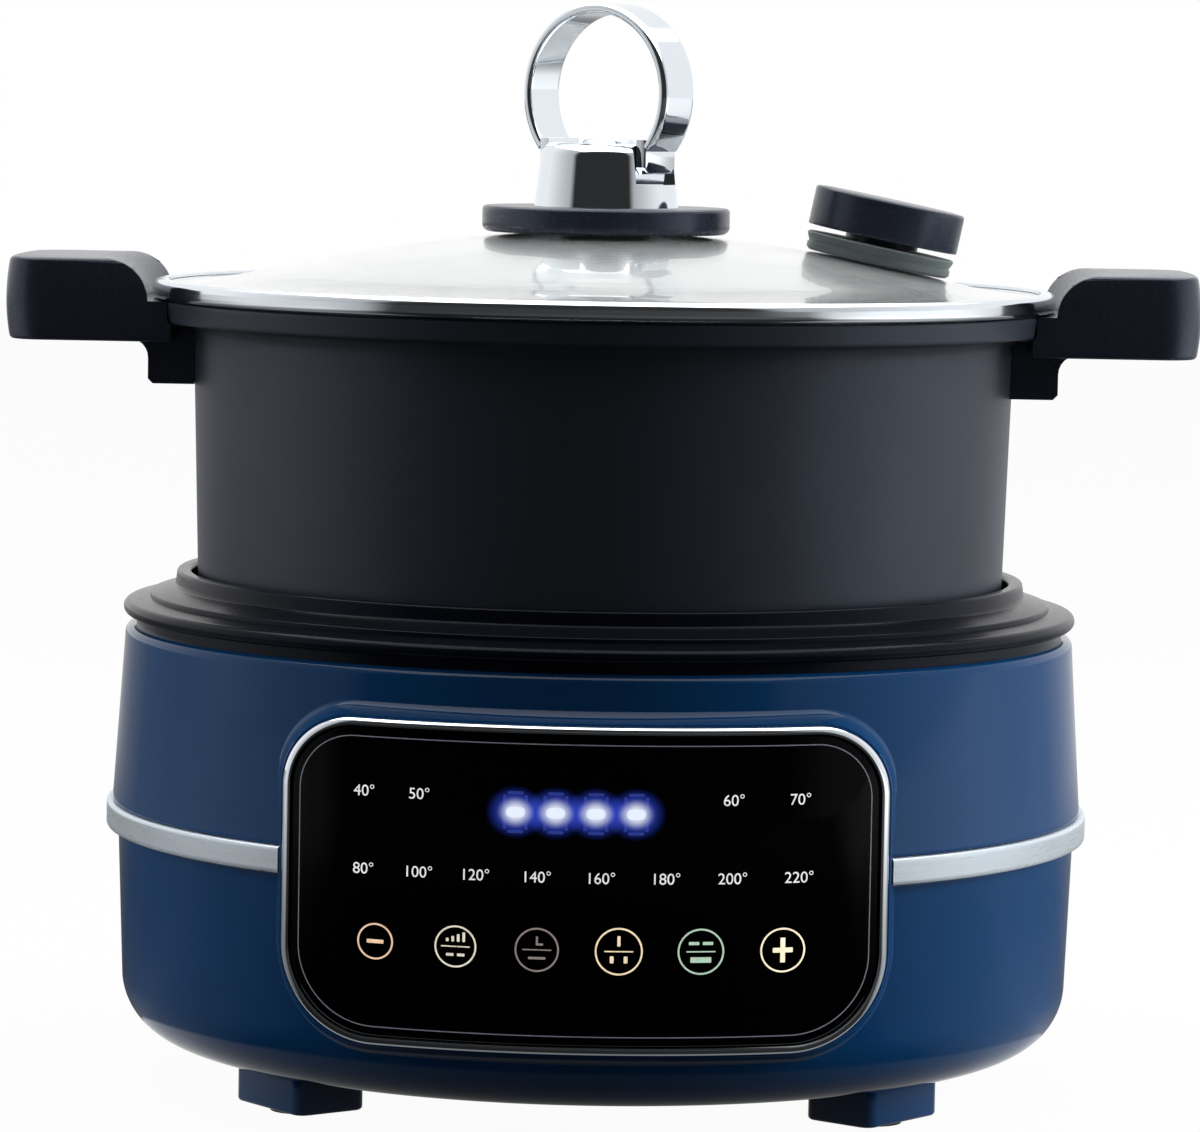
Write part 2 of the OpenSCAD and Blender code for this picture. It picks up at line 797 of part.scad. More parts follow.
module inlet_prism(w, h, r, from, to) {
    translate([0, to, inlet_z]) rotate([90, 0, 0]) linear_extrude(to - from) rounded_rect(w, h, r);
}

socket_body_w = socket_w + 2 * socket_wall;
socket_body_h = socket_h + 2 * socket_wall;
socket_back_y = inlet_face_y - socket_depth;
pin_size = [2, socket_depth + 8, 4];
pin_side = 7;
pin_rise = 2;

module inlet_cutout() {
    inlet_prism(socket_body_w + 2 * fit, socket_body_h + 2 * fit, socket_corner + socket_wall + fit,
        inlet_face_y / 2, inlet_face_y + 1);
}

module appliance_inlet() {
    back_t = 3;
    color([0.06, 0.06, 0.06]) difference() {
        union() {
            inlet_prism(inlet_w, inlet_h, inlet_corner, inlet_face_y - inlet_flange_t, inlet_face_y);
            inlet_prism(socket_body_w, socket_body_h, socket_corner + socket_wall,
                socket_back_y - back_t, inlet_face_y);
        }
        inlet_prism(socket_w, socket_h, socket_corner, socket_back_y, inlet_face_y + 1);
        pin_blades(fit);
    }
}

// Three blades: two below, and the earth blade in the middle above
module pin_blades(grow) {
    blade = [pin_size[0] + 2 * grow, pin_size[1], pin_size[2] + 2 * grow];
    tip_y = inlet_face_y - pin_inset;
    for (p = [[-pin_side, -pin_rise], [pin_side, -pin_rise], [0, pin_rise]])
        translate([p[0], tip_y - blade[1] / 2, inlet_z + p[1] - blade[2] / 2]) block(blade);
}

module inlet_pins() {
    color([0.8, 0.75, 0.55]) pin_blades(0);
}

module foot_places() {
    for (a = [foot_turn, 180 - foot_turn, 180 + foot_turn, -foot_turn])
        rotate(a) translate([foot_screw_r, 0, 0]) children();
}

module bottom_cover() {
    slot_count = 20;
    color([0.06, 0.06, 0.065]) difference() {
        union() {
            translate([0, 0, base_z]) cylinder(r = cover_r - fit, h = shell_t);
            ring_plate(cover_r + cover_lap, cover_r - cover_rim_w, floor_z, cover_rib_h);
            foot_places() translate([0, 0, floor_z]) cylinder(r = cover_boss_r, h = cover_boss_h);
            power_posts() {
                cylinder(r = post_r, h = power_z - floor_z);
                cylinder(r = peg_r, h = power_z - floor_z + board_t + peg_r);
            }
        }
        foot_places() translate([0, 0, base_z - eps])
            cylinder(r = screw_r + fit, h = base_screw_top + fit - base_z);
        for (i = [0 : slot_count - 1])
            rotate(360 * (i + 0.5) / slot_count) translate([cover_r / 2, -slot_w / 2, base_z - eps])
                cube([slot_l, slot_w, shell_t + 2 * eps]);
    }
}

foot_head_h = 2.2;
foot_head_z = pad_proud + pad_depth + fit;
base_screw_top = base_z + shell_t + cover_boss_r;

// Block with rounded corners, screwed under the bottom cover, with a recess for its pad
module foot(turn) {
    color([0.03, 0.07, 0.2]) rotate(turn) translate([foot_screw_r, 0, 0]) difference() {
        translate([0, 0, pad_proud]) linear_extrude(foot_h - pad_proud)
            rounded_rect(foot_l, foot_w, foot_corner);
        translate([0, 0, pad_proud - eps]) cylinder(r = pad_r + fit, h = pad_depth + eps);
        translate([0, 0, pad_proud]) cylinder(r = screw_head_r + fit, h = pad_depth + fit + foot_head_h);
        cylinder(r = screw_r + fit, h = foot_h + eps);
    }
}

module foot_pads() {
    color([0.1, 0.1, 0.1]) foot_places() cylinder(r = pad_r, h = pad_proud + pad_depth);
}

module base_screws() {
    color([0.7, 0.7, 0.72]) foot_places() translate([0, 0, foot_head_z]) {
        cylinder(r = screw_head_r, h = foot_head_h);
        cylinder(r = screw_r, h = base_screw_top - foot_head_z);
    }
}

module panel_frame() {
    color([0.85, 0.86, 0.88]) intersection() {
        difference() {
            panel_prism(0);
            panel_prism(-frame_w);
        }
        difference() {
            panel_cylinder(panel_curve);
            panel_cylinder(panel_curve - frame_depth);
        }
    }
}

module panel_glass() {
    color([0.02, 0.02, 0.025]) intersection() {
        panel_prism(-carrier_inset);
        difference() {
            panel_cylinder(glass_front_r);
            panel_cylinder(glass_back_r);
        }
    }
}

// Black frame behind the glass: its walls hold the glass in front and the board inside
module panel_carrier() {
    color([0.08, 0.08, 0.085]) difference() {
        intersection() {
            panel_prism(-carrier_inset);
            panel_cylinder(glass_back_r);
            translate([-panel_w, -panel_front, 0])
                cube([2 * panel_w, panel_front - board_y + carrier_tail, lip_z]);
        }
        panel_prism(-carrier_inset - carrier_t);
        cylinder(r = board_y, h = lip_z);
    }
}

module control_board() {
    color([0.1, 0.35, 0.2])
        translate([-board_half_w, -board_front_y, panel_z - board_half_h])
            cube([2 * board_half_w, board_t, 2 * board_half_h]);
}

module display_module() {
    front_y = glass_back_y(display_w / 2) - fit;
    color([0.1, 0.12, 0.2])
        translate([-display_w / 2, -front_y, display_z - display_h / 2])
            cube([display_w, front_y - board_front_y, display_h]);
}

// Hollow sprung posts that reach from the board to the back of the glass
module touch_contacts() {
    contact_r = 4;
    contact_t = 1;
    color([0.8, 0.78, 0.6])
        for (i = [0 : button_count - 1])
            let (reach = glass_back_y(abs(button_x(i)) + contact_r) - fit - board_front_y)
            translate([button_x(i), -board_front_y, button_z]) rotate([90, 0, 0]) difference() {
                cylinder(r = contact_r, h = reach);
                translate([0, 0, 1]) cylinder(r = contact_r - contact_t, h = reach);
            }
}

// Outer outline of the pot's upper wall, its cove and its rim
rim_chamfer = 1;
function pot_rim_outline(grow, top) = concat(
    arc([pot_r + rim_cove, wall_top_z], rim_cove - grow, 180, 90, 4),
    [[rim_r - rim_chamfer + grow, rim_z - rim_h - grow]],
    [[rim_r + grow, rim_z - rim_h + rim_chamfer - grow], [rim_r + grow, top]]
);

module pot() {
    inner_round = pot_round - 2;
    inner_r = pot_low_r - pot_t;
    shelf = 1.5;
    color([0.1, 0.1, 0.11]) revolve(concat(
        [[0, pot_z]],
        arc([pot_low_r - pot_round, pot_z + pot_round], pot_round, -90, 0),
        pot_rim_outline(0, rim_z - rim_chamfer),
        [[rim_r - rim_chamfer, rim_z], [seat_r, rim_z], [seat_r, seat_z]],
        [[pot_r + shelf, seat_z], [pot_r - pot_t, seat_z - pot_t - shelf]],
        arc([inner_r - inner_round, pot_z + pot_floor_t + inner_round], inner_round, 0, -90),
        [[0, pot_z + pot_floor_t]]));
}

// The space that the pot fills, grown by a clearance
module pot_space(grow) {
    low = bracket_z - bracket_drop;
    revolve(concat(
        [[0, low], [pot_wall_r(low) + grow, low]],
        pot_rim_outline(grow, rim_z),
        [[0, rim_z]]));
}

// The space that the lid passes through, with the round edge down to it from the handle's top
module lid_space() {
    way_r = lid_r + lid_way;
    above = handle_top + 1;
    revolve(concat(
        [[0, rim_z - eps], [way_r, rim_z - eps]],
        arc([way_r + grip_turn, handle_top - grip_turn], grip_turn, 180, 90, 10),
        [[way_r + grip_turn, above], [0, above]]));
}

// One level of the grip: its outline drawn in by an inset
module grip_slab(z, inset) {
    end_r = 30;
    end_bow = 2.5;
    side_bow = 1;
    root_x = pot_r + 4;
    root_r = 6;
    translate([0, 0, z]) linear_extrude(0.1) {
        translate([handle_x - end_r, 0]) circle(r = end_r - inset, $fn = 2 * hull_fn);
        for (y = [-1, 1]) {
            translate([handle_x - end_bow - grip_corner, y * (grip_w / 2 - side_bow - grip_corner)])
                circle(r = grip_corner - inset, $fn = hull_fn);
            translate([root_x + root_r, y * (grip_w / 2 - root_r)])
                circle(r = root_r - inset, $fn = hull_fn);
        }
    }
}

module grip_body() {
    hull() {
        grip_slab(grip_z, grip_edge);
        grip_slab(grip_z + grip_edge * 0.3, grip_edge * 0.35 + 0.7);
        grip_slab(grip_z + grip_edge, 0.8);
        grip_slab(grip_z + grip_h * 0.55, 0);
        grip_slab(handle_top - grip_edge, 0.6);
        grip_slab(handle_top - grip_edge * 0.3, grip_edge * 0.35 + 0.5);
        grip_slab(handle_top - 0.1, grip_edge);
    }
}

// Hollow under the grip for the fingers
module finger_pocket() {
    from_x = bracket_x + bracket_fillet + grip_wall;
    to_x = handle_x - grip_wall;
    pocket_h = grip_h - grip_wall;
    translate([(from_x + to_x) / 2, 0, grip_z - 1]) linear_extrude(pocket_h + 1)
        rounded_rect(to_x - from_x, grip_w - 3 * grip_wall, grip_corner - grip_wall);
}

module bracket_body() {
    root = pot_wall_r(bracket_z) - handle_root;
    sunk = 4;
    translate([root, -bracket_w / 2, bracket_z])
        cube([bracket_x - root, bracket_w, bracket_drop + sunk]);
    difference() {
        translate([bracket_x - 1, -bracket_w / 2, grip_z - bracket_fillet])
            cube([bracket_fillet + 1, bracket_w, bracket_fillet + sunk]);
        translate([bracket_x + bracket_fillet, bracket_w / 2 + 1, grip_z - bracket_fillet])
            rotate([90, 0, 0]) cylinder(r = bracket_fillet, h = bracket_w + 2);
    }
}

module lug_block(grow) {
    root = pot_r - handle_root;
    translate([root, -lug_w / 2 - grow, lug_z - grow])
        cube([lug_x - root + grow, lug_w + 2 * grow, lug_h + 2 * grow]);
}

handle_head_h = 2;

module handle_screw_way(grow) {
    translate([handle_screw_x, 0, 0]) {
        translate([0, 0, bracket_z - grow - eps])
            cylinder(r = screw_head_r + grow, h = handle_head_h + grow + eps);
        translate([0, 0, bracket_z])
            cylinder(r = handle_screw_r + grow, h = lug_z + lug_h - bracket_z);
    }
}

module handle() {
    color([0.06, 0.06, 0.065]) difference() {
        union() {
            grip_body();
            bracket_body();
        }
        pot_space(fit);
        lid_space();
        finger_pocket();
        lug_block(fit);
        handle_screw_way(fit);
    }
}

module handle_right() {
    handle();
}

module handle_left() {
    mirror([1, 0, 0]) handle();
}

module handle_lugs() {
    color([0.65, 0.65, 0.67])
        for (side = [0, 1])
            mirror([side, 0, 0]) difference() {
                lug_block(0);
                pot_space(fit);
                handle_screw_way(fit);
            }
}

module handle_screws() {
    color([0.7, 0.7, 0.72])
        for (side = [0, 1])
            mirror([side, 0, 0]) handle_screw_way(0);
}

// Upper outline of the lid glass: a dome that turns into a flat edge through a flare
function glass_outline(z) = concat(
    arc([0, z + apex_z - glass_top_z - dome_r], dome_r, 90, 90 - dome_slope, 10),
    arc([flare_r, z + flare_round], flare_round, 270 - dome_slope, 270, 6),
    [[glass_edge_r, z]]
);

module lid_glass() {
    top = glass_outline(glass_top_z);
    under = glass_outline(glass_z);
    color([0.8, 0.86, 0.88, 0.4]) difference() {
        revolve(concat(top, [for (i = [len(under) - 1 : -1 : 0]) under[i]]));
        translate([0, 0, apex_z - lid_t - 1]) cylinder(r = knob_screw_r + 1, h = lid_t + 2);
        on_vent() translate([0, 0, -3 * lid_t]) cylinder(r = vent_stem_r + fit, h = 6 * lid_t);
    }
}

// Channel of rolled sheet round the edge of the glass, with a skirt down into the pot
module lid_rim() {
    t = lid_rim_t;
    skirt_r = seat_r - 1.2;
    skirt_low = seat_z + lid_skirt_clear;
    lip_top = glass_top_z + fit + t;
    round = 1.2;
    color([0.82, 0.83, 0.85]) revolve(concat(
        [[skirt_r - t, skirt_low], [skirt_r, skirt_low], [skirt_r, lid_z]],
        arc([lid_r - round, lid_z + round], round, -90, 0, 4),
        arc([lid_r - round, lip_top - round], round, 0, 90, 4),
        [[flare_r + 0.6, lip_top], [flare_r + 0.6, glass_top_z + fit], [lid_r - t, glass_top_z + fit]],
        [[lid_r - t, lid_z + t], [skirt_r - t, lid_z + t]]));
}

module knob_base() {
    chamfer = 2.2;
    rim_t = 5;
    rim_low = apex_z - 0.2;
    boss_r = gasket_r + 2;
    top_t = 4.2;
    hollow_z = knob_top_z - top_t;
    edge = 1;
    color([0.05, 0.05, 0.055]) revolve(concat(
        [[knob_screw_r + fit, knob_seat_z], [boss_r, knob_seat_z], [boss_r, hollow_z]],
        [[knob_base_r - rim_t, hollow_z], [knob_base_r - rim_t, rim_low]],
        [[knob_base_r - chamfer, rim_low], [knob_base_r, rim_low + chamfer]],
        arc([knob_base_r - edge, knob_top_z - edge], edge, 0, 90, 4),
        [[knob_screw_r + fit, knob_top_z]]));
}

module knob_gasket() {
    gap = 0.1;
    color([0.55, 0.55, 0.55])
        ring_plate(gasket_r, knob_screw_r + fit, apex_z + gap, gasket_t - gap);
}

washer_t = 1.6;
washer_top = apex_z - lid_t - 0.3;

module knob_washer() {
    color([0.55, 0.55, 0.55]) ring_plate(gasket_r, knob_screw_r + fit, washer_top - washer_t, washer_t);
}

module knob_screw() {
    head_r = 8;
    head_h = 3.4;
    head_round = 2.4;
    under = washer_top - washer_t;
    color([0.78, 0.79, 0.8]) revolve(concat(
        [[0, under - head_h]],
        arc([head_r - head_round, under - head_h + head_round], head_round, -90, 0, 4),
        [[head_r, under], [knob_screw_r, under]],
        [[knob_screw_r, knob_screw_top], [0, knob_screw_top]]));
}

module on_ring() {
    rotate(ring_turn) children();
}

module pivot_bore(r, half) {
    translate([-half, 0, pivot_z]) rotate([0, 90, 0]) cylinder(r = r, h = 2 * half);
}

// Drum with two flats where the ring's ears lie
module knob_hub() {
    shoulder = [hub_top_r - hub_round, hub_top_z - hub_round];
    color([0.85, 0.86, 0.88]) on_ring() difference() {
        revolve(concat(
            [[0, knob_top_z], [hub_r, knob_top_z]],
            arc(shoulder, hub_round, 0, 90),
            [[hub_disc_r, hub_top_z], [hub_disc_r - hub_disc_h, hub_top_z + hub_disc_h]],
            [[0, hub_top_z + hub_disc_h]]));
        for (side = [0, 1])
            mirror([side, 0, 0]) translate([hub_flat, -recess_half, recess_z])
                cube([hub_r, 2 * recess_half, hub_h]);
        translate([0, 0, knob_top_z - eps])
            cylinder(r = knob_screw_r + fit, h = knob_screw_top - knob_top_z + fit + eps);
        pivot_bore(pivot_r + fit / 3, hub_r);
    }
}

module pivot_pin() {
    recess = 0.5;
    color([0.75, 0.76, 0.78]) on_ring() pivot_bore(pivot_r, ear_x + ear_t - recess);
}

// Block at the end of the ring's band, with its lower corners cut off
module ear_outline() {
    top = ear_join + ear_lap;
    side_low = ear_chamfer - ear_low;
    foot = ear_r - ear_chamfer;
    polygon([
        [-ear_r, top], [-ear_r, side_low], [-foot, -ear_low],
        [foot, -ear_low], [ear_r, side_low], [ear_r, top]]);
}

// Flat band bent into a ring, open at the bottom, with two blocks on the pivot pin
module ring_handle() {
    join_z = pivot_z + ear_join;
    color([0.85, 0.86, 0.88]) on_ring() difference() {
        union() {
            difference() {
                translate([0, ring_w / 2, ring_z]) rotate([90, 0, 0])
                    linear_extrude(ring_w) difference() {
                        circle(r = ring_r);
                        circle(r = ring_in_r);
                    }
                translate([-ring_r, -ring_w, join_z - 2 * ring_r])
                    cube([2 * ring_r, 2 * ring_w, 2 * ring_r]);
            }
            for (side = [0, 1])
                mirror([side, 0, 0]) translate([ear_x, 0, pivot_z]) rotate([90, 0, 90])
                    linear_extrude(ear_t) ear_outline();
        }
        pivot_bore(pivot_r + run_fit, ring_r);
    }
}

// The vent stands square to the dome, on the +X side
module on_vent() {
    translate([vent_x, 0, vent_z]) rotate([0, vent_tilt, 0]) children();
}

pivot_stub_h = 6;
stub_r = vent_stem_r - 1;
nut_t = 4;
stem_below = lid_t + nut_t + 2;

// Grey seat with the stem through the glass and the stub that the cap turns on
module vent_seat() {
    skirt = 1.6;
    edge = 0.5;
    seat_edge_r = vent_r - 0.4;
    stub_top = cap_z + pivot_stub_h;
    color([0.45, 0.45, 0.46]) on_vent() difference() {
        revolve([
            [0, -stem_below], [vent_stem_r, -stem_below], [vent_stem_r, fit], [vent_r - skirt, fit],
            [seat_edge_r, vent_seat_h / 2], [seat_edge_r, vent_seat_h - edge],
            [seat_edge_r - edge, vent_seat_h], [stub_r, vent_seat_h],
            [stub_r, stub_top], [0, stub_top]]);
        translate([0, 0, -stem_below - eps])
            cylinder(r = vent_bore_r, h = stem_below + stub_top + 2 * eps);
    }
}

module vent_nut() {
    sag = 0.3;
    color([0.5, 0.5, 0.52]) on_vent() translate([0, 0, -lid_t - nut_t - sag]) difference() {
        cylinder(r = vent_stem_r + 5, h = nut_t);
        translate([0, 0, -eps]) cylinder(r = vent_stem_r + fit, h = nut_t + 2 * eps);
    }
}

// Black cap that turns on the stub: its boss rests on the seat and leaves the steam gap
module vent_cap() {
    edge = 1.2;
    foot = 0.5;
    dish = 0.6;
    dish_rim = 3;
    top = cap_z + vent_cap_h;
    under = vent_seat_h + lift_gap;
    chamber_top = top - 4;
    way_r = 0.9;
    color([0.05, 0.05, 0.055]) on_vent() difference() {
        revolve(concat(
            [[stub_r + run_fit, under], [vent_boss_r, under], [vent_boss_r, cap_z]],
            [[vent_r - foot, cap_z], [vent_r, cap_z + foot]],
            arc([vent_r - edge, top - edge], edge, 0, 90, 4),
            [[vent_r - dish_rim, top - dish], [0, top - dish]],
            [[0, chamber_top], [stub_r + run_fit, chamber_top]]));
        for (a = [0, 90])
            rotate(a) translate([-vent_r - 1, 0, cap_z + pivot_stub_h + way_r / 2]) rotate([0, 90, 0])
                cylinder(r = way_r, h = 2 * vent_r + 2);
    }
}

upper_housing();
lower_housing();
trim_band();
top_collar();
inner_liner();
liner_screws();
heating_plate();
heating_element();
plate_screws();
thermal_fuse();
sensor_guide();
temperature_sensor();
sensor_clip();
sensor_spring();
power_board();
transformer();
relay();
filter_capacitor();
appliance_inlet();
inlet_pins();
bottom_cover();
foot(180 + foot_turn);  // foot_front_left
foot(-foot_turn);  // foot_front_right
foot(180 - foot_turn);  // foot_rear_left
foot(foot_turn);  // foot_rear_right
foot_pads();
base_screws();
panel_frame();
panel_glass();
panel_carrier();
control_board();
display_module();
touch_contacts();
pot();
handle_left();
handle_right();
handle_lugs();
handle_screws();
lid_glass();
lid_rim();
knob_base();
knob_gasket();
knob_washer();
knob_screw();
knob_hub();
pivot_pin();
ring_handle();
vent_seat();
vent_nut();
vent_cap();
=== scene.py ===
# %% [markdown]
# # A multicooker with a lift-off glass lid
#
# The heating base is a blue plastic drum with a touch panel. A dark pot stands in it, with a handle on each
# side, and a domed glass lid with a chrome ring lies on the pot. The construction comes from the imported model,
# which stays where it is. This lesson adds what the eye needs: soft edges, curved glass and real finishes.

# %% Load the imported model
import json
from math import asin, cos, degrees, hypot, pi, radians, sin, sqrt

import bmesh
import bpy
from mathutils import Matrix, Vector


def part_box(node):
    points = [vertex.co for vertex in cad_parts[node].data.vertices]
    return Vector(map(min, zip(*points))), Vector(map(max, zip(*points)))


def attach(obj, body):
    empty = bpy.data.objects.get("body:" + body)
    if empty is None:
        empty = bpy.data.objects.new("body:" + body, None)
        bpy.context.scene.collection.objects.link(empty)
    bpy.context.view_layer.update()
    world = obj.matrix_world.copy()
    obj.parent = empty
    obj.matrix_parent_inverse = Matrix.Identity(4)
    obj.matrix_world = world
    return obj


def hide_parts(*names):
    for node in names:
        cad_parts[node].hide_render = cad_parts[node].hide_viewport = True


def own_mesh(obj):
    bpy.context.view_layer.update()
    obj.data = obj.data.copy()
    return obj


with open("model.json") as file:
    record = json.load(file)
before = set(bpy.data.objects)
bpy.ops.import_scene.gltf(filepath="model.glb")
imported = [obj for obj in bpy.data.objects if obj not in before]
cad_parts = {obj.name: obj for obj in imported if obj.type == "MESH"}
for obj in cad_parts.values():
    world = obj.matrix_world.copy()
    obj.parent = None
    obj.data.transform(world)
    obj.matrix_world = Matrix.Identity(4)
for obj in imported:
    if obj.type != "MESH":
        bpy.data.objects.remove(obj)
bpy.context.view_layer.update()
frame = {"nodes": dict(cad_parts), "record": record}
scene = bpy.context.scene
scene.view_settings.view_transform = "Standard"
MM = 0.001


# %% [markdown]
# ## The camera
#
# The photograph was taken with a long lens from a little above the lid's height, so upright lines stay almost
# parallel. The camera stands a touch to the right of the middle and is turned about its own axis by a degree.
# Its place is worked out first, because every later choice is judged through it.

# %% Place the camera
camera_turn, camera_away, camera_height = radians(1.3), 1.786, 0.313
camera_pitch, camera_roll = radians(4.85), radians(1.0)
bpy.ops.object.select_all(action="DESELECT")
bpy.ops.object.camera_add()
camera = bpy.context.object
camera.data.sensor_width = 36
camera.data.lens = 172
camera.data.clip_end = 50
camera.matrix_world = (
    Matrix.Translation((camera_away * sin(camera_turn), -camera_away * cos(camera_turn), camera_height))
    @ Matrix.Rotation(camera_turn, 4, "Z")
    @ Matrix.Rotation(pi / 2 - camera_pitch, 4, "X")
    @ Matrix.Rotation(camera_roll, 4, "Z")
)
scene.camera = camera
print("camera at", [round(c, 3) for c in camera.location])

# %% [markdown]
# ## Shader nodes in short form
#
# World, floor and finishes are all node trees. In the editor one adds a node, sets its menus, types values into
# its sockets and draws the links. These helpers do the same in one line each, so that a tree reads as a list of
# what feeds what.

# %% Add a node with what feeds it
def add_node(tree, kind, feeds=None, **menus):
    """A node whose inputs, by name or number, take values or other nodes' outputs."""
    made = tree.nodes.new("ShaderNode" + kind)
    for menu, choice in menus.items():
        setattr(made, menu, choice)
    for socket, value in (feeds or {}).items():
        if isinstance(value, bpy.types.NodeSocket):
            tree.links.new(value, made.inputs[socket])
        else:
            made.inputs[socket].default_value = value
    return made


def reckon(tree, operation, a, b):
    return add_node(tree, "Math", {0: a, 1: b}, operation=operation).outputs[0]


def mixed(tree, share, a, b, kind="FLOAT"):
    return add_node(tree, "Mix", {"Factor": share, "A": a, "B": b}, data_type=kind).outputs["Result"]


def spread(tree, value, given, wanted, ease="LINEAR"):
    """Turns a value within one range into a value within another."""
    feeds = {"Value": value, "From Min": given[0], "From Max": given[1]}
    feeds |= {"To Min": wanted[0], "To Max": wanted[1]}
    return add_node(tree, "MapRange", feeds, interpolation_type=ease).outputs["Result"]


def ramp(tree, cosine, stops):
    """Brightness that changes with a direction's cosine, from -1 to 1."""
    made = add_node(tree, "ValToRGB", {"Fac": spread(tree, cosine, (-1, 1), (0, 1))})
    elements = made.color_ramp.elements
    for turn, bright in stops:
        elements.new((turn + 1) / 2).color = (bright, bright, bright, 1)
    elements.remove(elements[-1])
    elements.remove(elements[0])
    return made.outputs["Color"]


def new_paint(name, bare=False):
    made = bpy.data.materials.new(name)
    made.use_nodes = True
    if bare:
        made.node_tree.nodes.clear()
    return made, made.node_tree


# %% [markdown]
# ## Light and background
#
# Chrome and gloss plastic show what stands around them. A photographer puts white screens at both sides and
# leaves the room behind the camera dark, which gives the dark middle and the bright flanks. Real screens would
# have to stay out of the picture, so the world does their work: it is white to the eye, bright at the sides for
# reflections, and dark with a crisp change towards the camera. Three soft lamps light the surfaces without being
# mirrored, and a pale ceiling that only reflections see draws the light along the edges.

# %% White world with a dark front
ROOM = ((-0.68, 0.03), (-0.57, 0.5), (-0.3, 0.66), (0.0, 0.86), (0.25, 1.0))
ROOM_AXIS, FILL = (0.12, 0.99, 0), 0.22
world = bpy.data.worlds.new("studio")
scene.world = world
world.use_nodes = True
wires = world.node_tree
wires.nodes.clear()
rays = add_node(wires, "LightPath").outputs
look = add_node(wires, "TexCoord").outputs["Generated"]
depth = add_node(wires, "VectorMath", {0: look, 1: ROOM_AXIS}, operation="DOT_PRODUCT")
room = ramp(wires, depth.outputs["Value"], ROOM)
seen = reckon(wires, "MAXIMUM", rays["Is Camera Ray"], rays["Is Transmission Ray"])
level = mixed(wires, seen, mixed(wires, rays["Is Glossy Ray"], FILL, room), 1.0)
sky = add_node(wires, "Background", {"Color": (1, 1, 1, 1), "Strength": level})
add_node(wires, "OutputWorld", {"Surface": sky.outputs[0]})
print("world nodes:", len(wires.nodes))

# %% Soft boxes
def soft_box(name, place, target, size, power, mirrored=False):
    bpy.ops.object.light_add(type="AREA", location=place)
    lamp = bpy.context.object
    lamp.name = name
    lamp.data.shape = "RECTANGLE"
    lamp.data.size, lamp.data.size_y = size
    lamp.data.energy = power
    lamp.visible_glossy, lamp.visible_diffuse = mirrored, not mirrored
    lamp.rotation_euler = (Vector(target) - Vector(place)).to_track_quat("-Z", "Y").to_euler()
    print(name, power, "W")


soft_box("left_screen", (-1.7, 0.1, 0.6), (0, 0, 0.15), (0.9, 1.1), 16)
soft_box("right_screen", (1.7, 0.1, 0.6), (0, 0, 0.15), (0.9, 1.1), 38)
soft_box("top_screen", (0, 0.1, 1.8), (0, 0, 0.2), (1.6, 1.2), 16)
soft_box("ceiling", (0, 0, 1.7), (0, 0, 0), (3, 3), 80, True)

# %% [markdown]
# ## Floor
#
# The floor is white paper that keeps a faint shadow. The lower shell mirrors it, so in reflections it has
# screens of its own: dark in front, bright at the sides and most at the right, and dimmer near the object. A
# lighter patch right at the foot puts the pale line on the shell's bottom edge.

# %% White floor that keeps the shadow
SCREENS = ((-0.61, 0.05), (-0.51, 0.48), (-0.3, 0.85), (0.15, 0.8), (0.42, 0.42), (0.65, 0.26), (0.95, 0.4))
FOOT_GLOW = ((-1.0, 0.2), (-0.75, 0.32), (-0.3, 0.75))
PAPER_WHITE, PAPER_SHINE = 0.9, 0.96
bpy.ops.object.select_all(action="DESELECT")
bpy.ops.mesh.primitive_plane_add(size=12)
floor = bpy.context.object
floor.name = "studio_floor"
paper, wires = new_paint("white_paper", bare=True)
rays = add_node(wires, "LightPath").outputs
spot = add_node(wires, "TexCoord").outputs["Object"]
heading = add_node(wires, "VectorMath", {0: spot}, operation="NORMALIZE").outputs["Vector"]
heading = add_node(wires, "SeparateXYZ", {0: heading}).outputs
away = add_node(wires, "VectorMath", {0: spot}, operation="LENGTH").outputs["Value"]
screens = ramp(wires, heading["Y"], SCREENS)
rightwards = spread(wires, heading["X"], (-0.7, 0.7), (0.95, 1.9))
outwards = spread(wires, away, (0.4, 1.2), (0.28, 1.0), "SMOOTHSTEP")
wide = reckon(wires, "MULTIPLY", screens, reckon(wires, "MULTIPLY", rightwards, outwards))
at_foot = spread(wires, away, (0.16, 0.168), (1.0, 0.0), "SMOOTHSTEP")
near = reckon(wires, "MULTIPLY", at_foot, ramp(wires, heading["Y"], FOOT_GLOW))
mirrored = add_node(wires, "Emission", {"Strength": reckon(wires, "MAXIMUM", wide, near)}).outputs[0]
tone = mixed(wires, rays["Is Camera Ray"], screens, PAPER_WHITE)
lit = add_node(wires, "BsdfDiffuse", {"Color": tone}).outputs[0]
pale = add_node(wires, "Emission").outputs[0]
shine = reckon(wires, "MULTIPLY", rays["Is Camera Ray"], PAPER_SHINE)
looked_at = add_node(wires, "MixShader", {0: shine, 1: lit, 2: pale}).outputs[0]
reflected = add_node(wires, "MixShader", {0: rays["Is Glossy Ray"], 1: looked_at, 2: mirrored}).outputs[0]
add_node(wires, "OutputMaterial", {"Surface": reflected})
floor.data.materials.append(paper)
print("floor", floor.dimensions[0], "m wide")

# %% [markdown]
# ## Finishes
#
# Every finish is a small set of nodes on Object coordinates. A slow noise shifts the colour a little, and a fine
# one changes the gloss and lifts the surface. Squeezing the noise along one axis turns it into brushing, so one
# recipe serves for gloss plastic, cast coating and metal alike.

# %% The recipe for a finish
finishes = {}


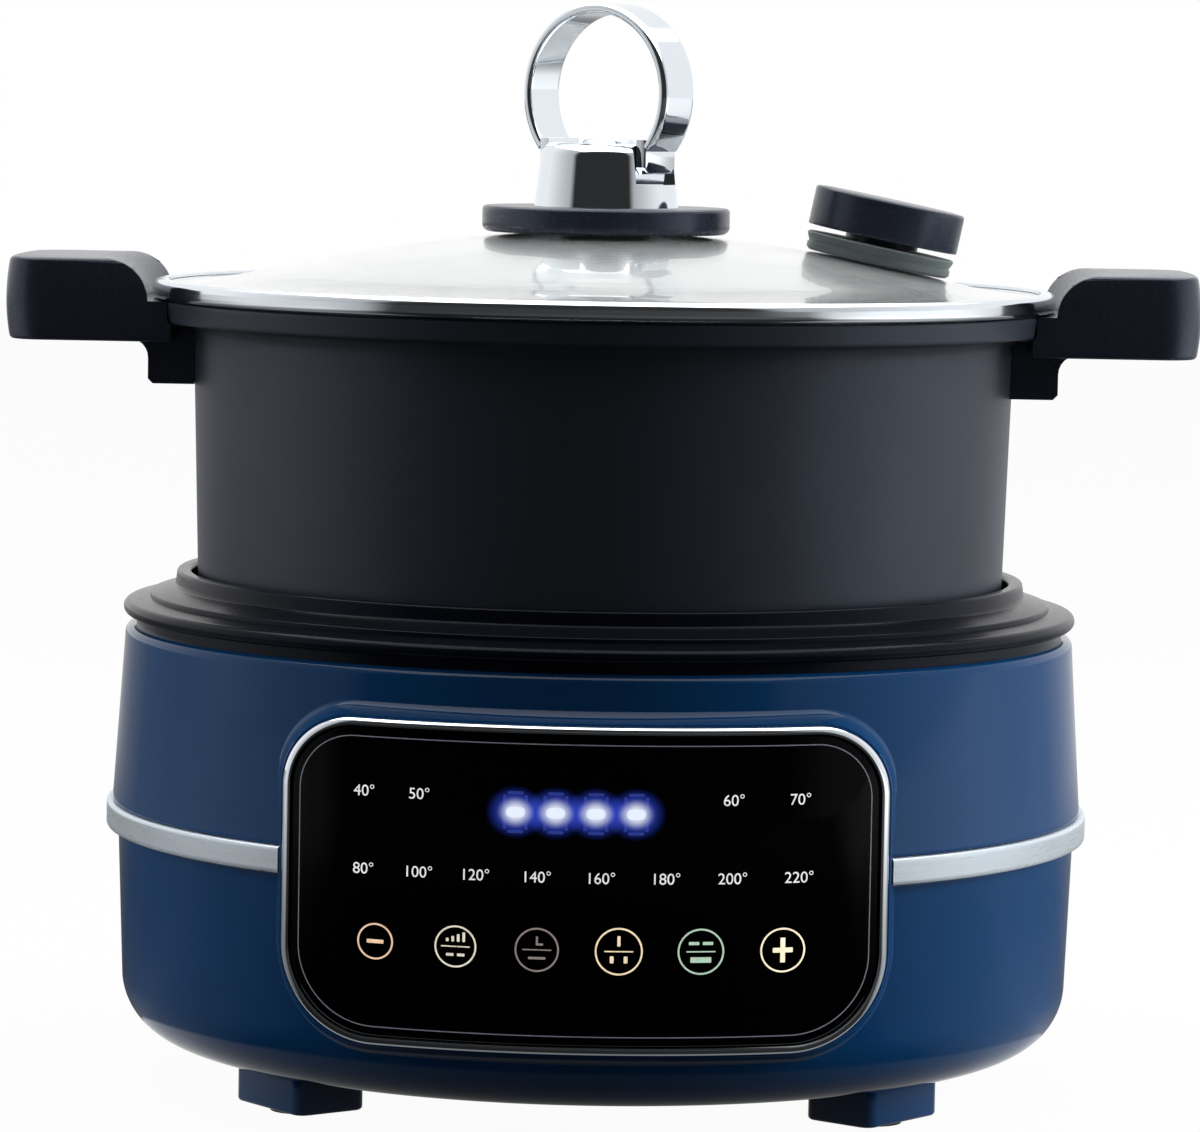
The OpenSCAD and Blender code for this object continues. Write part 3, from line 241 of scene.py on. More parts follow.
def finish(slot, colours, gloss, patch=40, grain=900, lift=0.0, stretch=(1, 1, 1), **sockets):
    """Two colours and two roughness values mixed by noise, with a bump of the given height in millimetres."""
    made, tree = new_paint(slot)
    shader = tree.nodes["Principled BSDF"].inputs
    for name, value in sockets.items():
        shader[name.replace("_", " ")].default_value = value
    place = add_node(tree, "TexCoord").outputs["Object"]
    place = add_node(tree, "Mapping", {"Vector": place, "Scale": stretch}).outputs[0]
    slow, fine = (
        add_node(tree, "TexNoise", {"Vector": place, "Scale": scale, "Detail": detail}).outputs["Fac"]
        for scale, detail in ((patch, 3), (grain, 2))
    )
    tint = mixed(tree, slow, (*colours[0], 1), (*colours[1], 1), "RGBA")
    tree.links.new(tint, shader["Base Color"])
    tree.links.new(spread(tree, fine, (0.3, 0.7), gloss), shader["Roughness"])
    if lift:
        bump = add_node(tree, "Bump", {"Height": fine, "Distance": lift * MM})
        tree.links.new(bump.outputs["Normal"], shader["Normal"])
    finishes[slot] = made


# %% Plastics, coating and rubber
cool = (0.78, 0.85, 1.0, 1)
finish("housing_blue", ((0.0036, 0.039, 0.122), (0.0042, 0.043, 0.134)), (0.05, 0.08), 14, 700, 0.001, IOR=1.26)
finish("collar_black", ((0.003, 0.0036, 0.007), (0.005, 0.006, 0.011)), (0.16, 0.26), 60, 1500, 0.05,
       IOR=1.19, Specular_Tint=cool)
finish("panel_black", ((0.0006, 0.0006, 0.0008), (0.001, 0.001, 0.0013)), (0.03, 0.06), 30, 400, IOR=1.16)
finish("pot_coating", ((0.021, 0.026, 0.035), (0.028, 0.033, 0.045)), (0.32, 0.42), 50, 2600, 0.02,
       IOR=1.34, Metallic=0.12, Specular_Tint=cool)
finish("bakelite_black", ((0.0155, 0.020, 0.033), (0.021, 0.026, 0.040)), (0.2, 0.3), 70, 900, 0.005,
       IOR=1.45, Specular_Tint=cool)
finish("vent_grey", ((0.085, 0.105, 0.108), (0.11, 0.13, 0.135)), (0.35, 0.5), 60, 1200, 0.02)
finish("silicone_grey", ((0.30, 0.30, 0.30), (0.36, 0.36, 0.36)), (0.5, 0.65), 60, 1400, 0.02)
finish("rubber_black", ((0.012, 0.012, 0.012), (0.022, 0.022, 0.022)), (0.6, 0.8), 90, 1600, 0.05)
finish("inlet_black", ((0.012, 0.012, 0.013), (0.02, 0.02, 0.021)), (0.4, 0.55), 80, 1500, 0.03)
finish("component_body", ((0.012, 0.02, 0.06), (0.02, 0.03, 0.08)), (0.3, 0.45), 90, 900)
finish("winding_yellow", ((0.55, 0.38, 0.06), (0.65, 0.48, 0.1)), (0.35, 0.5), 90, 900, 0.02, (1, 1, 12))
finish("fuse_ceramic", ((0.62, 0.6, 0.56), (0.72, 0.7, 0.66)), (0.4, 0.55), 90, 900)
finish("board_green", ((0.01, 0.09, 0.035), (0.016, 0.12, 0.05)), (0.25, 0.4), 200, 900, 0.01)
print("plastic finishes:", len(finishes))

# %% [markdown]
# ## Metals and glass
#
# Chrome is almost a mirror, so it gets hardly any roughness; the band, the rim and the liner are brushed, with
# noise squeezed along their height, which leaves fine lines that run round. The lid's glass lets most light
# through, keeps a little white of its own, and wears a slightly soft coat, which blurs what it mirrors and makes
# the dome look pale from the side.

# %% Bright metals, inner metals and the lid's glass
bright, brushed = ((0.74, 0.79, 0.84), (0.82, 0.87, 0.92)), (1, 1, 40)
finish("chrome", bright, (0.03, 0.07), 25, 300, Metallic=1.0)
finish("trim_silver", ((0.58, 0.65, 0.71), (0.66, 0.73, 0.79)), (0.26, 0.36), 20, 60, 0.002, brushed,
       Metallic=0.6)
finish("rim_steel", bright, (0.08, 0.14), 20, 60, 0.002, brushed, Metallic=1.0)
finish("liner_metal", ((0.50, 0.51, 0.52), (0.60, 0.61, 0.62)), (0.28, 0.42), 20, 60, 0.01, (1, 1, 30),
       Metallic=1.0)
finish("plate_metal", ((0.46, 0.46, 0.47), (0.56, 0.56, 0.57)), (0.35, 0.5), 60, 900, 0.02, Metallic=1.0)
finish("heater_metal", ((0.12, 0.11, 0.10), (0.2, 0.18, 0.17)), (0.45, 0.6), 80, 900, 0.02, Metallic=1.0)
finish("screw_steel", ((0.55, 0.56, 0.58), (0.66, 0.67, 0.69)), (0.25, 0.38), 200, 1500, 0.01, Metallic=1.0)
finish("pin_brass", ((0.62, 0.50, 0.25), (0.72, 0.60, 0.34)), (0.22, 0.35), 200, 1500, 0.01, Metallic=1.0)
finish("lid_glass", ((0.95, 0.975, 0.97), (0.97, 0.985, 0.98)), (0.0, 0.02), 30, 200,
       IOR=1.25, Transmission_Weight=0.82, Coat_Weight=1.0, Coat_Roughness=0.24)
print("finishes:", len(finishes))

# %% [markdown]
# ## Hands for the work
#
# A few small helpers keep the pieces short: one adds a primitive with nothing else selected, one picks faces
# or edges by their place, one turns an outline round the upright axis as on a lathe, and one settles a finished
# piece on the body that carries it. Sizes are written in millimetres, as on a drawing.

# %% Add, pick, move and draw out
def mode(wanted):
    if not bpy.context.mode.startswith(wanted):
        bpy.ops.object.mode_set(mode=wanted)


def everything():
    bpy.ops.mesh.select_all(action="SELECT")


def begin(kind, **sizes):
    """A new primitive at its size and place, alone and all selected in edit mode."""
    mode("OBJECT")
    bpy.ops.object.select_all(action="DESELECT")
    getattr(bpy.ops.mesh, "primitive_" + kind + "_add")(**sizes)
    bpy.ops.object.transform_apply(location=True, rotation=True, scale=True)
    mode("EDIT")
    bpy.ops.mesh.select_mode(type="VERT")
    everything()
    return bpy.context.object


def pick(kind, test):
    """Selects the vertices, edges or faces of the piece in hand whose middle passes the test."""
    bpy.ops.mesh.select_all(action="DESELECT")
    bpy.ops.mesh.select_mode(type={"verts": "VERT", "edges": "EDGE", "faces": "FACE"}[kind])
    work = bmesh.from_edit_mesh(bpy.context.object.data)
    for part in getattr(work, kind):
        middle = part.co if kind == "verts" else sum((v.co for v in part.verts), Vector()) / len(part.verts)
        part.select_set(bool(test(middle / MM, part)))
    work.select_flush_mode()
    bmesh.update_edit_mesh(bpy.context.object.data)


def move(x, y, z):
    bpy.ops.transform.translate(value=(x * MM, y * MM, z * MM))


def draw_out(x, y, z):
    bpy.ops.mesh.extrude_region_move(TRANSFORM_OT_translate={"value": (x * MM, y * MM, z * MM)})


def bevel(width, segments, **more):
    bpy.ops.mesh.bevel(offset=width * MM, segments=segments, **more)


def open_middle(width):
    """Insets the selected face and deletes its middle, which leaves a ring."""
    bpy.ops.mesh.inset(thickness=width * MM)
    bpy.ops.mesh.delete(type="FACE")


# %% Close, combine, copy and settle
def take(piece):
    bpy.ops.object.select_all(action="DESELECT")
    piece.select_set(True)
    bpy.context.view_layer.objects.active = piece


def smooth(piece, angle=35):
    take(piece)
    bpy.ops.object.shade_smooth_by_angle(angle=radians(angle))


def close(piece, angle=35):
    """Merges doubles, turns the faces outwards and leaves edit mode."""
    everything()
    bpy.ops.mesh.remove_doubles(threshold=0.002 * MM)
    bpy.ops.mesh.normals_make_consistent(inside=False)
    mode("OBJECT")
    smooth(piece, angle)
    return piece


def combine(piece, other, operation="DIFFERENCE"):
    """A boolean modifier that is applied at once; the other piece is used up."""
    take(piece)
    tool = piece.modifiers.new("combine", "BOOLEAN")
    tool.operation = operation
    tool.solver = "EXACT"
    tool.object = other
    bpy.ops.object.modifier_apply(modifier=tool.name)
    bpy.data.objects.remove(other)


def copy_of(piece):
    made = piece.copy()
    made.data = piece.data.copy()
    scene.collection.objects.link(made)
    return made


def settle(piece, name, paint, body, *nodes):
    """Names and paints a piece, lets it ride on its body and hides the imported parts that it replaces."""
    piece.name = piece.data.name = name
    piece.data.materials.clear()
    piece.data.materials.append(finishes[paint])
    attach(piece, body)
    if nodes:
        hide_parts(*nodes)
    print(name, len(piece.data.polygons), "faces, rides on", body)


# %% Turn an outline on the lathe
def bow(centre, r, first, last, steps=6):
    """Points on an arc, with angles in degrees counted from the outward direction."""
    turns = [radians(first + (last - first) * i / steps) for i in range(steps + 1)]
    return [(centre[0] + r * cos(a), centre[1] + r * sin(a)) for a in turns]


def held(outline, edge=0.5, pitch=8):
    """Adds points near the ends of long lines, which hold the shading flat, and a few in between."""
    line = [outline[0]]
    for a, b in zip(outline, outline[1:]):
        far = hypot(b[0] - a[0], b[1] - a[1])
        stops = []
        if far > 4 * edge:
            count = max(1, round(far / pitch))
            stops = [edge / far] + [i / count for i in range(1, count)] + [1 - edge / far]
        line += [(a[0] + (b[0] - a[0]) * s, a[1] + (b[1] - a[1]) * s) for s in stops] + [b]
    return line


def strung(points):
    """One vertex drawn out from point to point, which leaves a wire in edit mode."""
    piece = begin("plane", size=MM)
    bpy.ops.mesh.merge(type="CENTER")
    everything()
    here = Vector(points[0]) * MM
    bpy.ops.transform.translate(value=here)
    for point in points[1:]:
        there = Vector(point) * MM
        bpy.ops.mesh.extrude_vertices_move(TRANSFORM_OT_translate={"value": there - here})
        here = there
    everything()
    return piece


def turned(outline, steps=160, sweep=360, first=0):
    """Radius and height points, spun about the upright axis; closed unless they end on the axis."""
    line = list(outline)
    if max(line[0][0], line[-1][0]) > 1e-6:
        line.append(line[0])
    piece = strung([(r * cos(radians(first)), r * sin(radians(first)), z) for r, z in held(line)])
    bpy.ops.mesh.spin(steps=steps, angle=-radians(sweep), center=(0, 0, 0), axis=(0, 0, 1))
    everything()
    bpy.ops.mesh.remove_doubles(threshold=0.002 * MM)
    if sweep < 360:
        bpy.ops.mesh.fill_holes(sides=0)
    return close(piece)


# %% [markdown]
# ## The blue shells
#
# The drum is moulded in two shells that meet behind the silver band: the upper one widens downwards, the lower
# one draws in to a round bottom edge. Both are turned from their outline. The window for the touch panel is
# then cut through with a rounded block, as the mould's slide would leave it.

# %% Outline of the drum
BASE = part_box("lower_housing")[0][2] / MM
BAND, UPPER, TOP = BASE + 65.6, BASE + 73.9, BASE + 128.4
SPLIT = (BAND + UPPER) / 2
BODY_R, WAIST_R, LOWER_R, SHOULDER_R, GROOVE_R, TONGUE_R = 151.0, 149.2, 147.6, 147.6, 148.6, 146.2
ROUND, SHOULDER, WALL = 20.0, 2.6, 3.0
COVER_R, LEDGE_R = 120.6, 139.2
PANEL_W, PANEL_H, PANEL_Z = 177.0, 95.3, SPLIT - 3.2
HIGH_CORNER, LOW_CORNER = 21.5, 28.0
PANEL_R, PANEL_AXIS = 175.0, 20.8
LIP_W, LIP_SIDE, LIP_CUT = 5.0, 2.4, 1.2


def drum_radius(z):
    """Outer radius of the two shells at a height."""
    if z < BASE + ROUND:
        return LOWER_R - ROUND + sqrt(max(0, ROUND**2 - (BASE + ROUND - z) ** 2))
    if z < BAND:
        return LOWER_R + (WAIST_R - LOWER_R) * (z - BASE - ROUND) / (BAND - BASE - ROUND)
    if z < UPPER:
        return WAIST_R + (BODY_R - WAIST_R) * (z - BAND) / (UPPER - BAND)
    return BODY_R + (SHOULDER_R - BODY_R) * min(1, (z - UPPER) / (TOP - SHOULDER - UPPER))


print("drum radius at half height:", round(drum_radius(UPPER), 1), "mm")

# %% Rounded plates, lying or upright and facing the front
def lying(w, l, corner, segments):
    """A flat plate with rounded corners, all selected."""
    piece = begin("plane", size=1)
    bpy.ops.transform.resize(value=(w * MM, l * MM, 1))
    bevel(corner, segments, affect="VERTICES")
    everything()
    return piece


def plate(w, h, corner, segments=12, low=None):
    """An upright plate with one corner radius, or with another one for its lower corners."""
    piece = begin("plane", size=1, rotation=(pi / 2, 0, 0))
    bpy.ops.transform.resize(value=(w * MM, 1, h * MM))
    for under, radius in ((False, corner), (True, low or corner)):
        pick("verts", lambda m, v: (m.z < 0) == under)
        bevel(radius, segments, affect="VERTICES")
    everything()
    return piece


def panel_plate(grow, segments=20):
    """The panel's outline, grown or drawn in by a distance."""
    return plate(PANEL_W + 2 * grow, PANEL_H + 2 * grow, HIGH_CORNER + grow, segments, LOW_CORNER + grow)


def punch(piece, depth, y, z):
    """Draws an upright plate back to a block for cutting, at its place."""
    draw_out(0, depth, 0)
    everything()
    move(0, y, z)
    return close(piece)


def window():
    return punch(panel_plate(LIP_CUT, 12), 110, -200, PANEL_Z)


# %% Upper shell
upper = turned(
    [(TONGUE_R, SPLIT), (GROOVE_R, SPLIT), (GROOVE_R, UPPER)]
    + bow((BODY_R - 0.6, UPPER + 0.6), 0.6, -90, 0, 3)
    + bow((SHOULDER_R - SHOULDER, TOP - SHOULDER), SHOULDER, 4, 90, 6)
    + [(LEDGE_R, TOP), (LEDGE_R, TOP - WALL), (SHOULDER_R - WALL, TOP - WALL)],
    192,
)
combine(upper, window())
smooth(upper)
settle(upper, "upper_shell", "housing_blue", "base", "upper_housing")

# %% Lower shell, with the hole for the power inlet
INLET_W, INLET_H, INLET_Z, INLET_Y = 28.0, 20.2, BASE + 36.0, 154.2
low_turn = (LOWER_R - ROUND, BASE + ROUND)


def inlet_hole():
    return punch(plate(INLET_W, INLET_H, 3.3, 4), 60, 110, INLET_Z)


lower = turned(
    [(COVER_R, BASE)]
    + bow(low_turn, ROUND, -90, 0, 24)
    + bow((WAIST_R - 0.5, BAND - 0.5), 0.5, 0, 90, 3)
    + [(GROOVE_R, BAND), (GROOVE_R, SPLIT), (TONGUE_R, SPLIT)]
    + bow(low_turn, ROUND - WALL, 0, -90, 8)
    + [(COVER_R, BASE + WALL)],
    192,
)
combine(lower, window())
combine(lower, inlet_hole())
smooth(lower)
settle(lower, "lower_shell", "housing_blue", "base", "lower_housing")

# %% Flat pad round the power inlet
PAD_W, PAD_H, PAD_DEPTH = 46, 34, 14
pad = plate(PAD_W, PAD_H, 7, 6)
draw_out(0, PAD_DEPTH, 0)
pick("edges", lambda m, e: abs(m.y) < 0.01 and all(abs(v.co.y) < 1e-6 for v in e.verts))
bevel(0.8, 3)
everything()
bpy.ops.transform.rotate(value=pi, orient_axis="Z", center_override=(0, 0, 0))
move(0, INLET_Y - 1, INLET_Z)
close(pad)
combine(pad, inlet_hole())
smooth(pad)
settle(pad, "inlet_pad", "housing_blue", "base")

# %% [markdown]
# ## The lip round the touch panel
#
# The blue plastic swells up to meet the chrome frame. A rounded plate is inset again and again, which leaves
# rings at known distances from the frame. Each ring then moves between two surfaces: the flat front at the
# frame and the drum at the foot, so the lip runs out into the drum without a seam.

# %% Rings from frame to drum
RING_WIDTHS = (0.7, 0.7, 0.6, 0.6, 0.6, 0.5, 0.4, 0.3, 0.3, 0.3)
LIP_BACK, CREST_W, CREST = 2.2, 0.6, 0.35


def outline_gap(x, z):
    """Distance in millimetres outwards from the chrome frame's outline."""
    corner = HIGH_CORNER if z > 0 else LOW_CORNER
    qx = abs(x) - (PANEL_W / 2 - corner)
    qz = abs(z) - (PANEL_H / 2 - corner)
    return hypot(max(qx, 0), max(qz, 0)) + min(max(qx, qz), 0) - corner


def lip_width(x, z):
    """The lip is wide above and below the panel and narrow at its sides."""
    over = max(0, abs(z) - (PANEL_H / 2 - HIGH_CORNER))
    beside = max(0, abs(x) - (PANEL_W / 2 - HIGH_CORNER))
    return LIP_SIDE + (LIP_W - LIP_SIDE) * over / max(hypot(over, beside), 1e-6)


def slice_upright(half, pitch=4):
    """Cuts the piece in hand by upright planes, so that it can follow a curve."""
    count = int(half / pitch)
    for i in range(-count, count + 1):
        everything()
        bpy.ops.mesh.bisect(plane_co=(i * pitch * MM, 0, 0), plane_no=(1, 0, 0))


surround = panel_plate(LIP_W)
for width in RING_WIDTHS:
    bpy.ops.mesh.inset(thickness=width * MM)
bpy.ops.mesh.delete(type="FACE")
slice_upright(PANEL_W / 2 + LIP_W)
mode("OBJECT")
for v in surround.data.vertices:
    x, z = v.co.x / MM, v.co.z / MM
    gap = outline_gap(x, z)
    share = min(1, max(0, (gap - CREST_W) / (lip_width(x, z) - CREST_W)))
    front_y = PANEL_AXIS - sqrt((PANEL_R - LIP_BACK) ** 2 - x**2)
    drum_y = -sqrt(drum_radius(z + PANEL_Z) ** 2 - x**2)
    rise = (1 - share) ** 2.4
    tucked = CREST * (max(0, CREST_W - gap) ** 2 + share**2)
    v.co.y = (drum_y + (front_y - drum_y) * rise + tucked) * MM
    v.co.z += PANEL_Z * MM
mode("EDIT")
close(surround, 60)
settle(surround, "panel_surround", "housing_blue", "base")

# %% [markdown]
# ## Silver band and black collar
#
# The band is a flat strip of satin metal sprung into the groove between the shells, and it stops at the panel's
# lip, so its outline is turned through less than a full circle. The collar is one moulding: a lip round the
# well, a sloping ledge with a small step, and a round bead that stands over a dark gap. Its edges are kept
# tight, because they draw the fine light lines round the well.

# %% Silver band
BAND_OPEN, BAND_R, BAND_FIT = 36.1, 152.9, 0.15
band = turned(
    [(GROOVE_R + BAND_FIT, BAND + BAND_FIT)]
    + bow((BAND_R - 1, BAND + BAND_FIT + 1), 1, -90, 0, 4)
    + bow((BAND_R - 1, UPPER - BAND_FIT - 1), 1, 0, 90, 4)
    + [(GROOVE_R + BAND_FIT, UPPER - BAND_FIT)],
    200,
    360 - 2 * BAND_OPEN,
    -90 + BAND_OPEN,
)
settle(band, "silver_band", "trim_silver", "base", "trim_band")
print("band ends at y", round(min(v.co.y for v in band.data.vertices), 3))

# %% Black collar
WELL_R, LIP_R, EDGE_R, STEP_R, NECK_R, SKIRT_R = 127.185, 131.785, 148.2, 140.0, 144.2, 139.05
LIP_Z, EDGE_Z, EDGE_TOP, SKIRT_Z = TOP + 17.0, TOP + 3.2, TOP + 7.6, TOP - 11.4
BEAD, COLLAR_WALL = 2.1, 3
collar = turned(
    [(WELL_R, SKIRT_Z)]
    + bow((WELL_R + 1.5, LIP_Z - 1.5), 1.5, 180, 90, 4)
    + bow((LIP_R - 0.9, LIP_Z - 0.9), 0.9, 90, 0, 4)
    + bow((LIP_R + 1.6, EDGE_TOP + 5.6), 1.2, 180, 250, 4)
    + bow((STEP_R - 0.5, EDGE_TOP + 1.9), 0.5, 70, 0, 3)
    + [(STEP_R + 0.1, EDGE_TOP + 1.0)]
    + bow((EDGE_R - BEAD, EDGE_TOP - BEAD), BEAD, 80, 0, 6)
    + bow((EDGE_R - BEAD, EDGE_Z + BEAD), BEAD, 0, -90, 6)
    + [(NECK_R, EDGE_Z), (NECK_R, TOP), (SKIRT_R, TOP), (SKIRT_R, SKIRT_Z)]
    + [(SKIRT_R - 5, SKIRT_Z), (SKIRT_R - 5, EDGE_TOP - 2)]
    + [(WELL_R + COLLAR_WALL, EDGE_TOP - 2), (WELL_R + COLLAR_WALL, SKIRT_Z)],
    192,
)
settle(collar, "stepped_collar", "collar_black", "base", "top_collar")

# %% [markdown]
# ## Feet
#
# Four short blue blocks carry the drum on its diagonals. One is modelled from a plane with rounded corners, is
# drawn up and gets a soft lower edge; the other three are copies with their own mesh, turned to their places.

# %% One foot and its copies
FOOT_R, FOOT_L, FOOT_W, FOOT_TURN, PAD = 110.0, 25.0, 36.0, 38, 1.4
FOOT_PLACES = {"front_left": 180 + FOOT_TURN, "front_right": -FOOT_TURN,
               "rear_left": 180 - FOOT_TURN, "rear_right": FOOT_TURN}
block = lying(FOOT_L, FOOT_W, 4, 6)
draw_out(0, 0, BASE - PAD)
pick("edges", lambda m, e: all(v.co.z < 1e-6 for v in e.verts))
bevel(1.2, 4)
everything()
move(FOOT_R, 0, PAD)
close(block)
recess = begin("cylinder", vertices=48, radius=9.15 * MM, depth=4 * MM, location=(FOOT_R * MM, 0, 0.5 * MM))
combine(block, close(recess))
smooth(block)
for place, turn in FOOT_PLACES.items():
    foot = copy_of(block)
    foot.data.transform(Matrix.Rotation(radians(turn), 4, "Z"))
    settle(foot, "foot_block_" + place, "housing_blue", "base", "foot_" + place)
bpy.data.objects.remove(block)

# %% [markdown]
# ## Touch panel
#
# A thin chrome frame holds a black glass that follows the drum's curve. Both start as flat rounded plates: the
# frame is inset and its middle deleted, then both are drawn back, their front edges bevelled, and sliced so
# that they can be laid on the curve by moving each point back to the panel's own radius.

# %% Lay a flat piece on the panel's curve
def lay_on_panel(piece, radius):
    """The piece's depth behind its front becomes depth behind a cylinder of this radius."""
    for v in piece.data.vertices:
        v.co.y = PANEL_AXIS * MM - sqrt((radius * MM - v.co.y) ** 2 - v.co.x**2)
        v.co.z += PANEL_Z * MM


def soften_front(width, segments, nearest=-1, farthest=1):
    """Bevels the front face's edges that lie between two distances from the frame's outline."""
    pick("edges", lambda m, e: all(abs(v.co.y) < 1e-6 for v in e.verts)
         and any(abs(f.normal.y) < 0.5 for f in e.link_faces)
         and nearest < outline_gap(m.x, m.z) < farthest)
    bevel(width, segments)


def thicken(depth):
    """Draws the panel piece in hand back and turns its faces outwards."""
    everything()
    draw_out(0, depth, 0)
    everything()
    bpy.ops.mesh.normals_make_consistent(inside=False)


# %% Chrome frame
FRAME_W = 2.4
rim = panel_plate(0)
open_middle(FRAME_W)
thicken(7)
soften_front(1.5, 6)
soften_front(0.35, 2, -9, -1)
slice_upright(PANEL_W / 2)
close(rim)
lay_on_panel(rim, PANEL_R)
settle(rim, "chrome_frame", "chrome", "base", "panel_frame")

# %% Black glass
GLASS_IN, GLASS_R = FRAME_W + 0.15, 174.1
pane = panel_plate(-GLASS_IN)
thicken(3)
soften_front(0.8, 3, -9)
slice_upright(PANEL_W / 2)
close(pane)
lay_on_panel(pane, GLASS_R)
settle(pane, "black_glass", "panel_black", "base", "panel_glass")

# %% [markdown]
# ## Lights and marks behind the glass
#
# The panel wakes up with four glowing dashes, rows of plain temperature marks and six touch rings. Each mark is
# cut flat, drawn a little thick and laid on the glass's curve. The dashes get their glow from a thin patch laid
# over them, clear at its edge, whose light fades with the distance from each dash.
# A thin glowing line near the glass's edge is a painted highlight.

# %% Finishes that shine
def shining(name, colour, power):
    """A glowing mark over a dim base, whose light varies a little over the surface: for the marks a printed
    window with a lamp behind it, for the glass's edge a painted highlight.
    """
    made, tree = new_paint(name)
    shader = tree.nodes["Principled BSDF"].inputs
    shader["Base Color"].default_value = (*[c * 0.5 for c in colour], 1)
    shader["Roughness"].default_value = 0.4
    shader["Emission Color"].default_value = (*colour, 1)
    place = add_node(tree, "TexCoord").outputs["Object"]
    cloud = add_node(tree, "TexNoise", {"Vector": place, "Scale": 500}).outputs["Fac"]
    glow = spread(tree, cloud, (0, 1), (power * 0.6, power * 1.4))
    tree.links.new(glow, shader["Emission Strength"])
    finishes[name] = made


shining("mark_white", (0.85, 0.86, 0.88), 0.8)
shining("mark_peach", (0.95, 0.66, 0.45), 0.75)
shining("mark_cream", (0.93, 0.86, 0.70), 0.7)
shining("mark_dim", (0.55, 0.45, 0.43), 0.35)
shining("mark_orange", (0.98, 0.80, 0.52), 0.8)
shining("mark_green", (0.62, 0.86, 0.66), 0.6)
shining("mark_yellow", (1.0, 0.88, 0.62), 0.9)
shining("dash_blue", (0.72, 0.80, 1.0), 0.9)
shining("dash_faint", (0.05, 0.08, 0.32), 0.28)
# Painted highlight: a faint glowing line that stands in for the light on the glass's bevelled edge.
shining("painted_edge_highlight", (0.30, 0.33, 0.40), 0.22)
print("finishes with the shining ones:", len(finishes))

# %% Place marks on the glass
MARK_T, MARK_PROUD = 0.1, 0.05


def lay_mark(parts, name, shine):
    """Joins flat parts, draws them a hair thick and lays them just proud of the glass."""
    mode("OBJECT")
    take(parts[0])
    for part in parts:
        part.select_set(True)
    if len(parts) > 1:
        bpy.ops.object.join()
    piece = bpy.context.object
    mode("EDIT")
    everything()
    bpy.ops.mesh.remove_doubles(threshold=0.001 * MM)
    everything()
    draw_out(0, MARK_T, 0)
    close(piece)
    lay_on_panel(piece, GLASS_R + MARK_PROUD)
    settle(piece, name, shine, "base")


def bar(x, z, w, h, corner=0.2):
    """A flat strip with soft corners; places on the panel are counted from its middle."""
    piece = plate(w, h, min(corner, 0.45 * w, 0.45 * h), 3)
    move(x, 0, z)
    mode("OBJECT")
    return piece


def hoop(x, z, radius, line):
    """A flat ring: a disc that is inset and whose middle is deleted."""
    piece = begin("circle", vertices=64, radius=radius * MM, fill_type="NGON", rotation=(pi / 2, 0, 0))
    bpy.ops.mesh.select_mode(type="FACE")
    everything()
    open_middle(line)
    bpy.ops.mesh.select_mode(type="VERT")
    everything()
    move(x, 0, z)
    mode("OBJECT")
    return piece


# %% Painted highlight line near the glass's edge
# The line glows as a painted highlight along the glass's bevel.
line = panel_plate(-GLASS_IN - 2.7)
open_middle(0.3)
slice_upright(PANEL_W / 2)
lay_mark([line], "painted_glass_highlight", "painted_edge_highlight")

# %% Plain temperature marks
def number(degree, x, z, size=4.6):
    mode("OBJECT")
    bpy.ops.object.select_all(action="DESELECT")
    bpy.ops.object.text_add(rotation=(pi / 2, 0, 0))
    text = bpy.context.object
    text.data.body = str(degree) + "\u00b0"
    text.data.size = size * MM
    text.data.align_x, text.data.align_y = "CENTER", "CENTER"
    bpy.ops.object.convert(target="MESH")
    text = bpy.context.object
    text.location = (x * MM, 0, z * MM)
    bpy.ops.object.transform_apply(location=True, rotation=True, scale=True)
    return text


ROW_HIGH, ROW_LOW, DASH_Z, TOUCH_Z = 26.35, 3.65, 22.45, -17.25
MARK_X = (-63.8, -47.6, -31, -13.2, 5.3, 24, 43.2, 62.4)
numbers = [number(40 + 10 * i, x, ROW_HIGH) for i, x in enumerate(MARK_X[:2] + MARK_X[6:])]
numbers += [number(80 + 20 * i, x, ROW_LOW) for i, x in enumerate(MARK_X)]
lay_mark(numbers, "temperature_marks", "mark_white")

# %% Touch rings with their signs
TOUCH_PITCH, TOUCH_MID = 23.6, -1.0


def touch(i, name, radius, shine, signs):
    x = (i - 2.5) * TOUCH_PITCH + TOUCH_MID
    parts = [hoop(x, TOUCH_Z, radius, 0.5)]
    parts += [bar(x + dx, TOUCH_Z + dz, w, h) for dx, dz, w, h in signs]
    lay_mark(parts, "touch_" + name, shine)


split_line = [(0, 0, 8.4, 0.35)]
steps_up = [(-2.4 + 1.6 * i, 1.9 + 0.3 * i, 0.8, 1.0 + 0.6 * i) for i in range(4)]
touch(0, "less", 5.3, "mark_peach", [(0, 0, 5.0, 1.1)])
touch(1, "level", 6.1, "mark_cream", split_line + steps_up + [(-1.6, -2.4, 2.2, 0.8), (1.6, -2.4, 2.2, 0.8)])
touch(2, "delay", 6.4, "mark_dim", split_line + [(0, 2.6, 0.6, 2.6), (0.8, 1.6, 2.0, 0.6), (0, -2.4, 5, 0.7)])
touch(3, "power", 6.9, "mark_orange", split_line + [(0, 3.0, 0.9, 3.0), (-2, -2.4, 1.1, 2), (2, -2.4, 1.1, 2)])
touch(4, "keep", 6.7, "mark_green", split_line + [(-2, 2.4, 3, 0.9), (2, 2.4, 3, 0.9), (0, -2.4, 6, 1.6)])
touch(5, "more", 6.5, "mark_yellow", [(0, 0, 5.8, 1.4), (0, 2.15, 1.4, 2.9), (0, -2.15, 1.4, 2.9)])

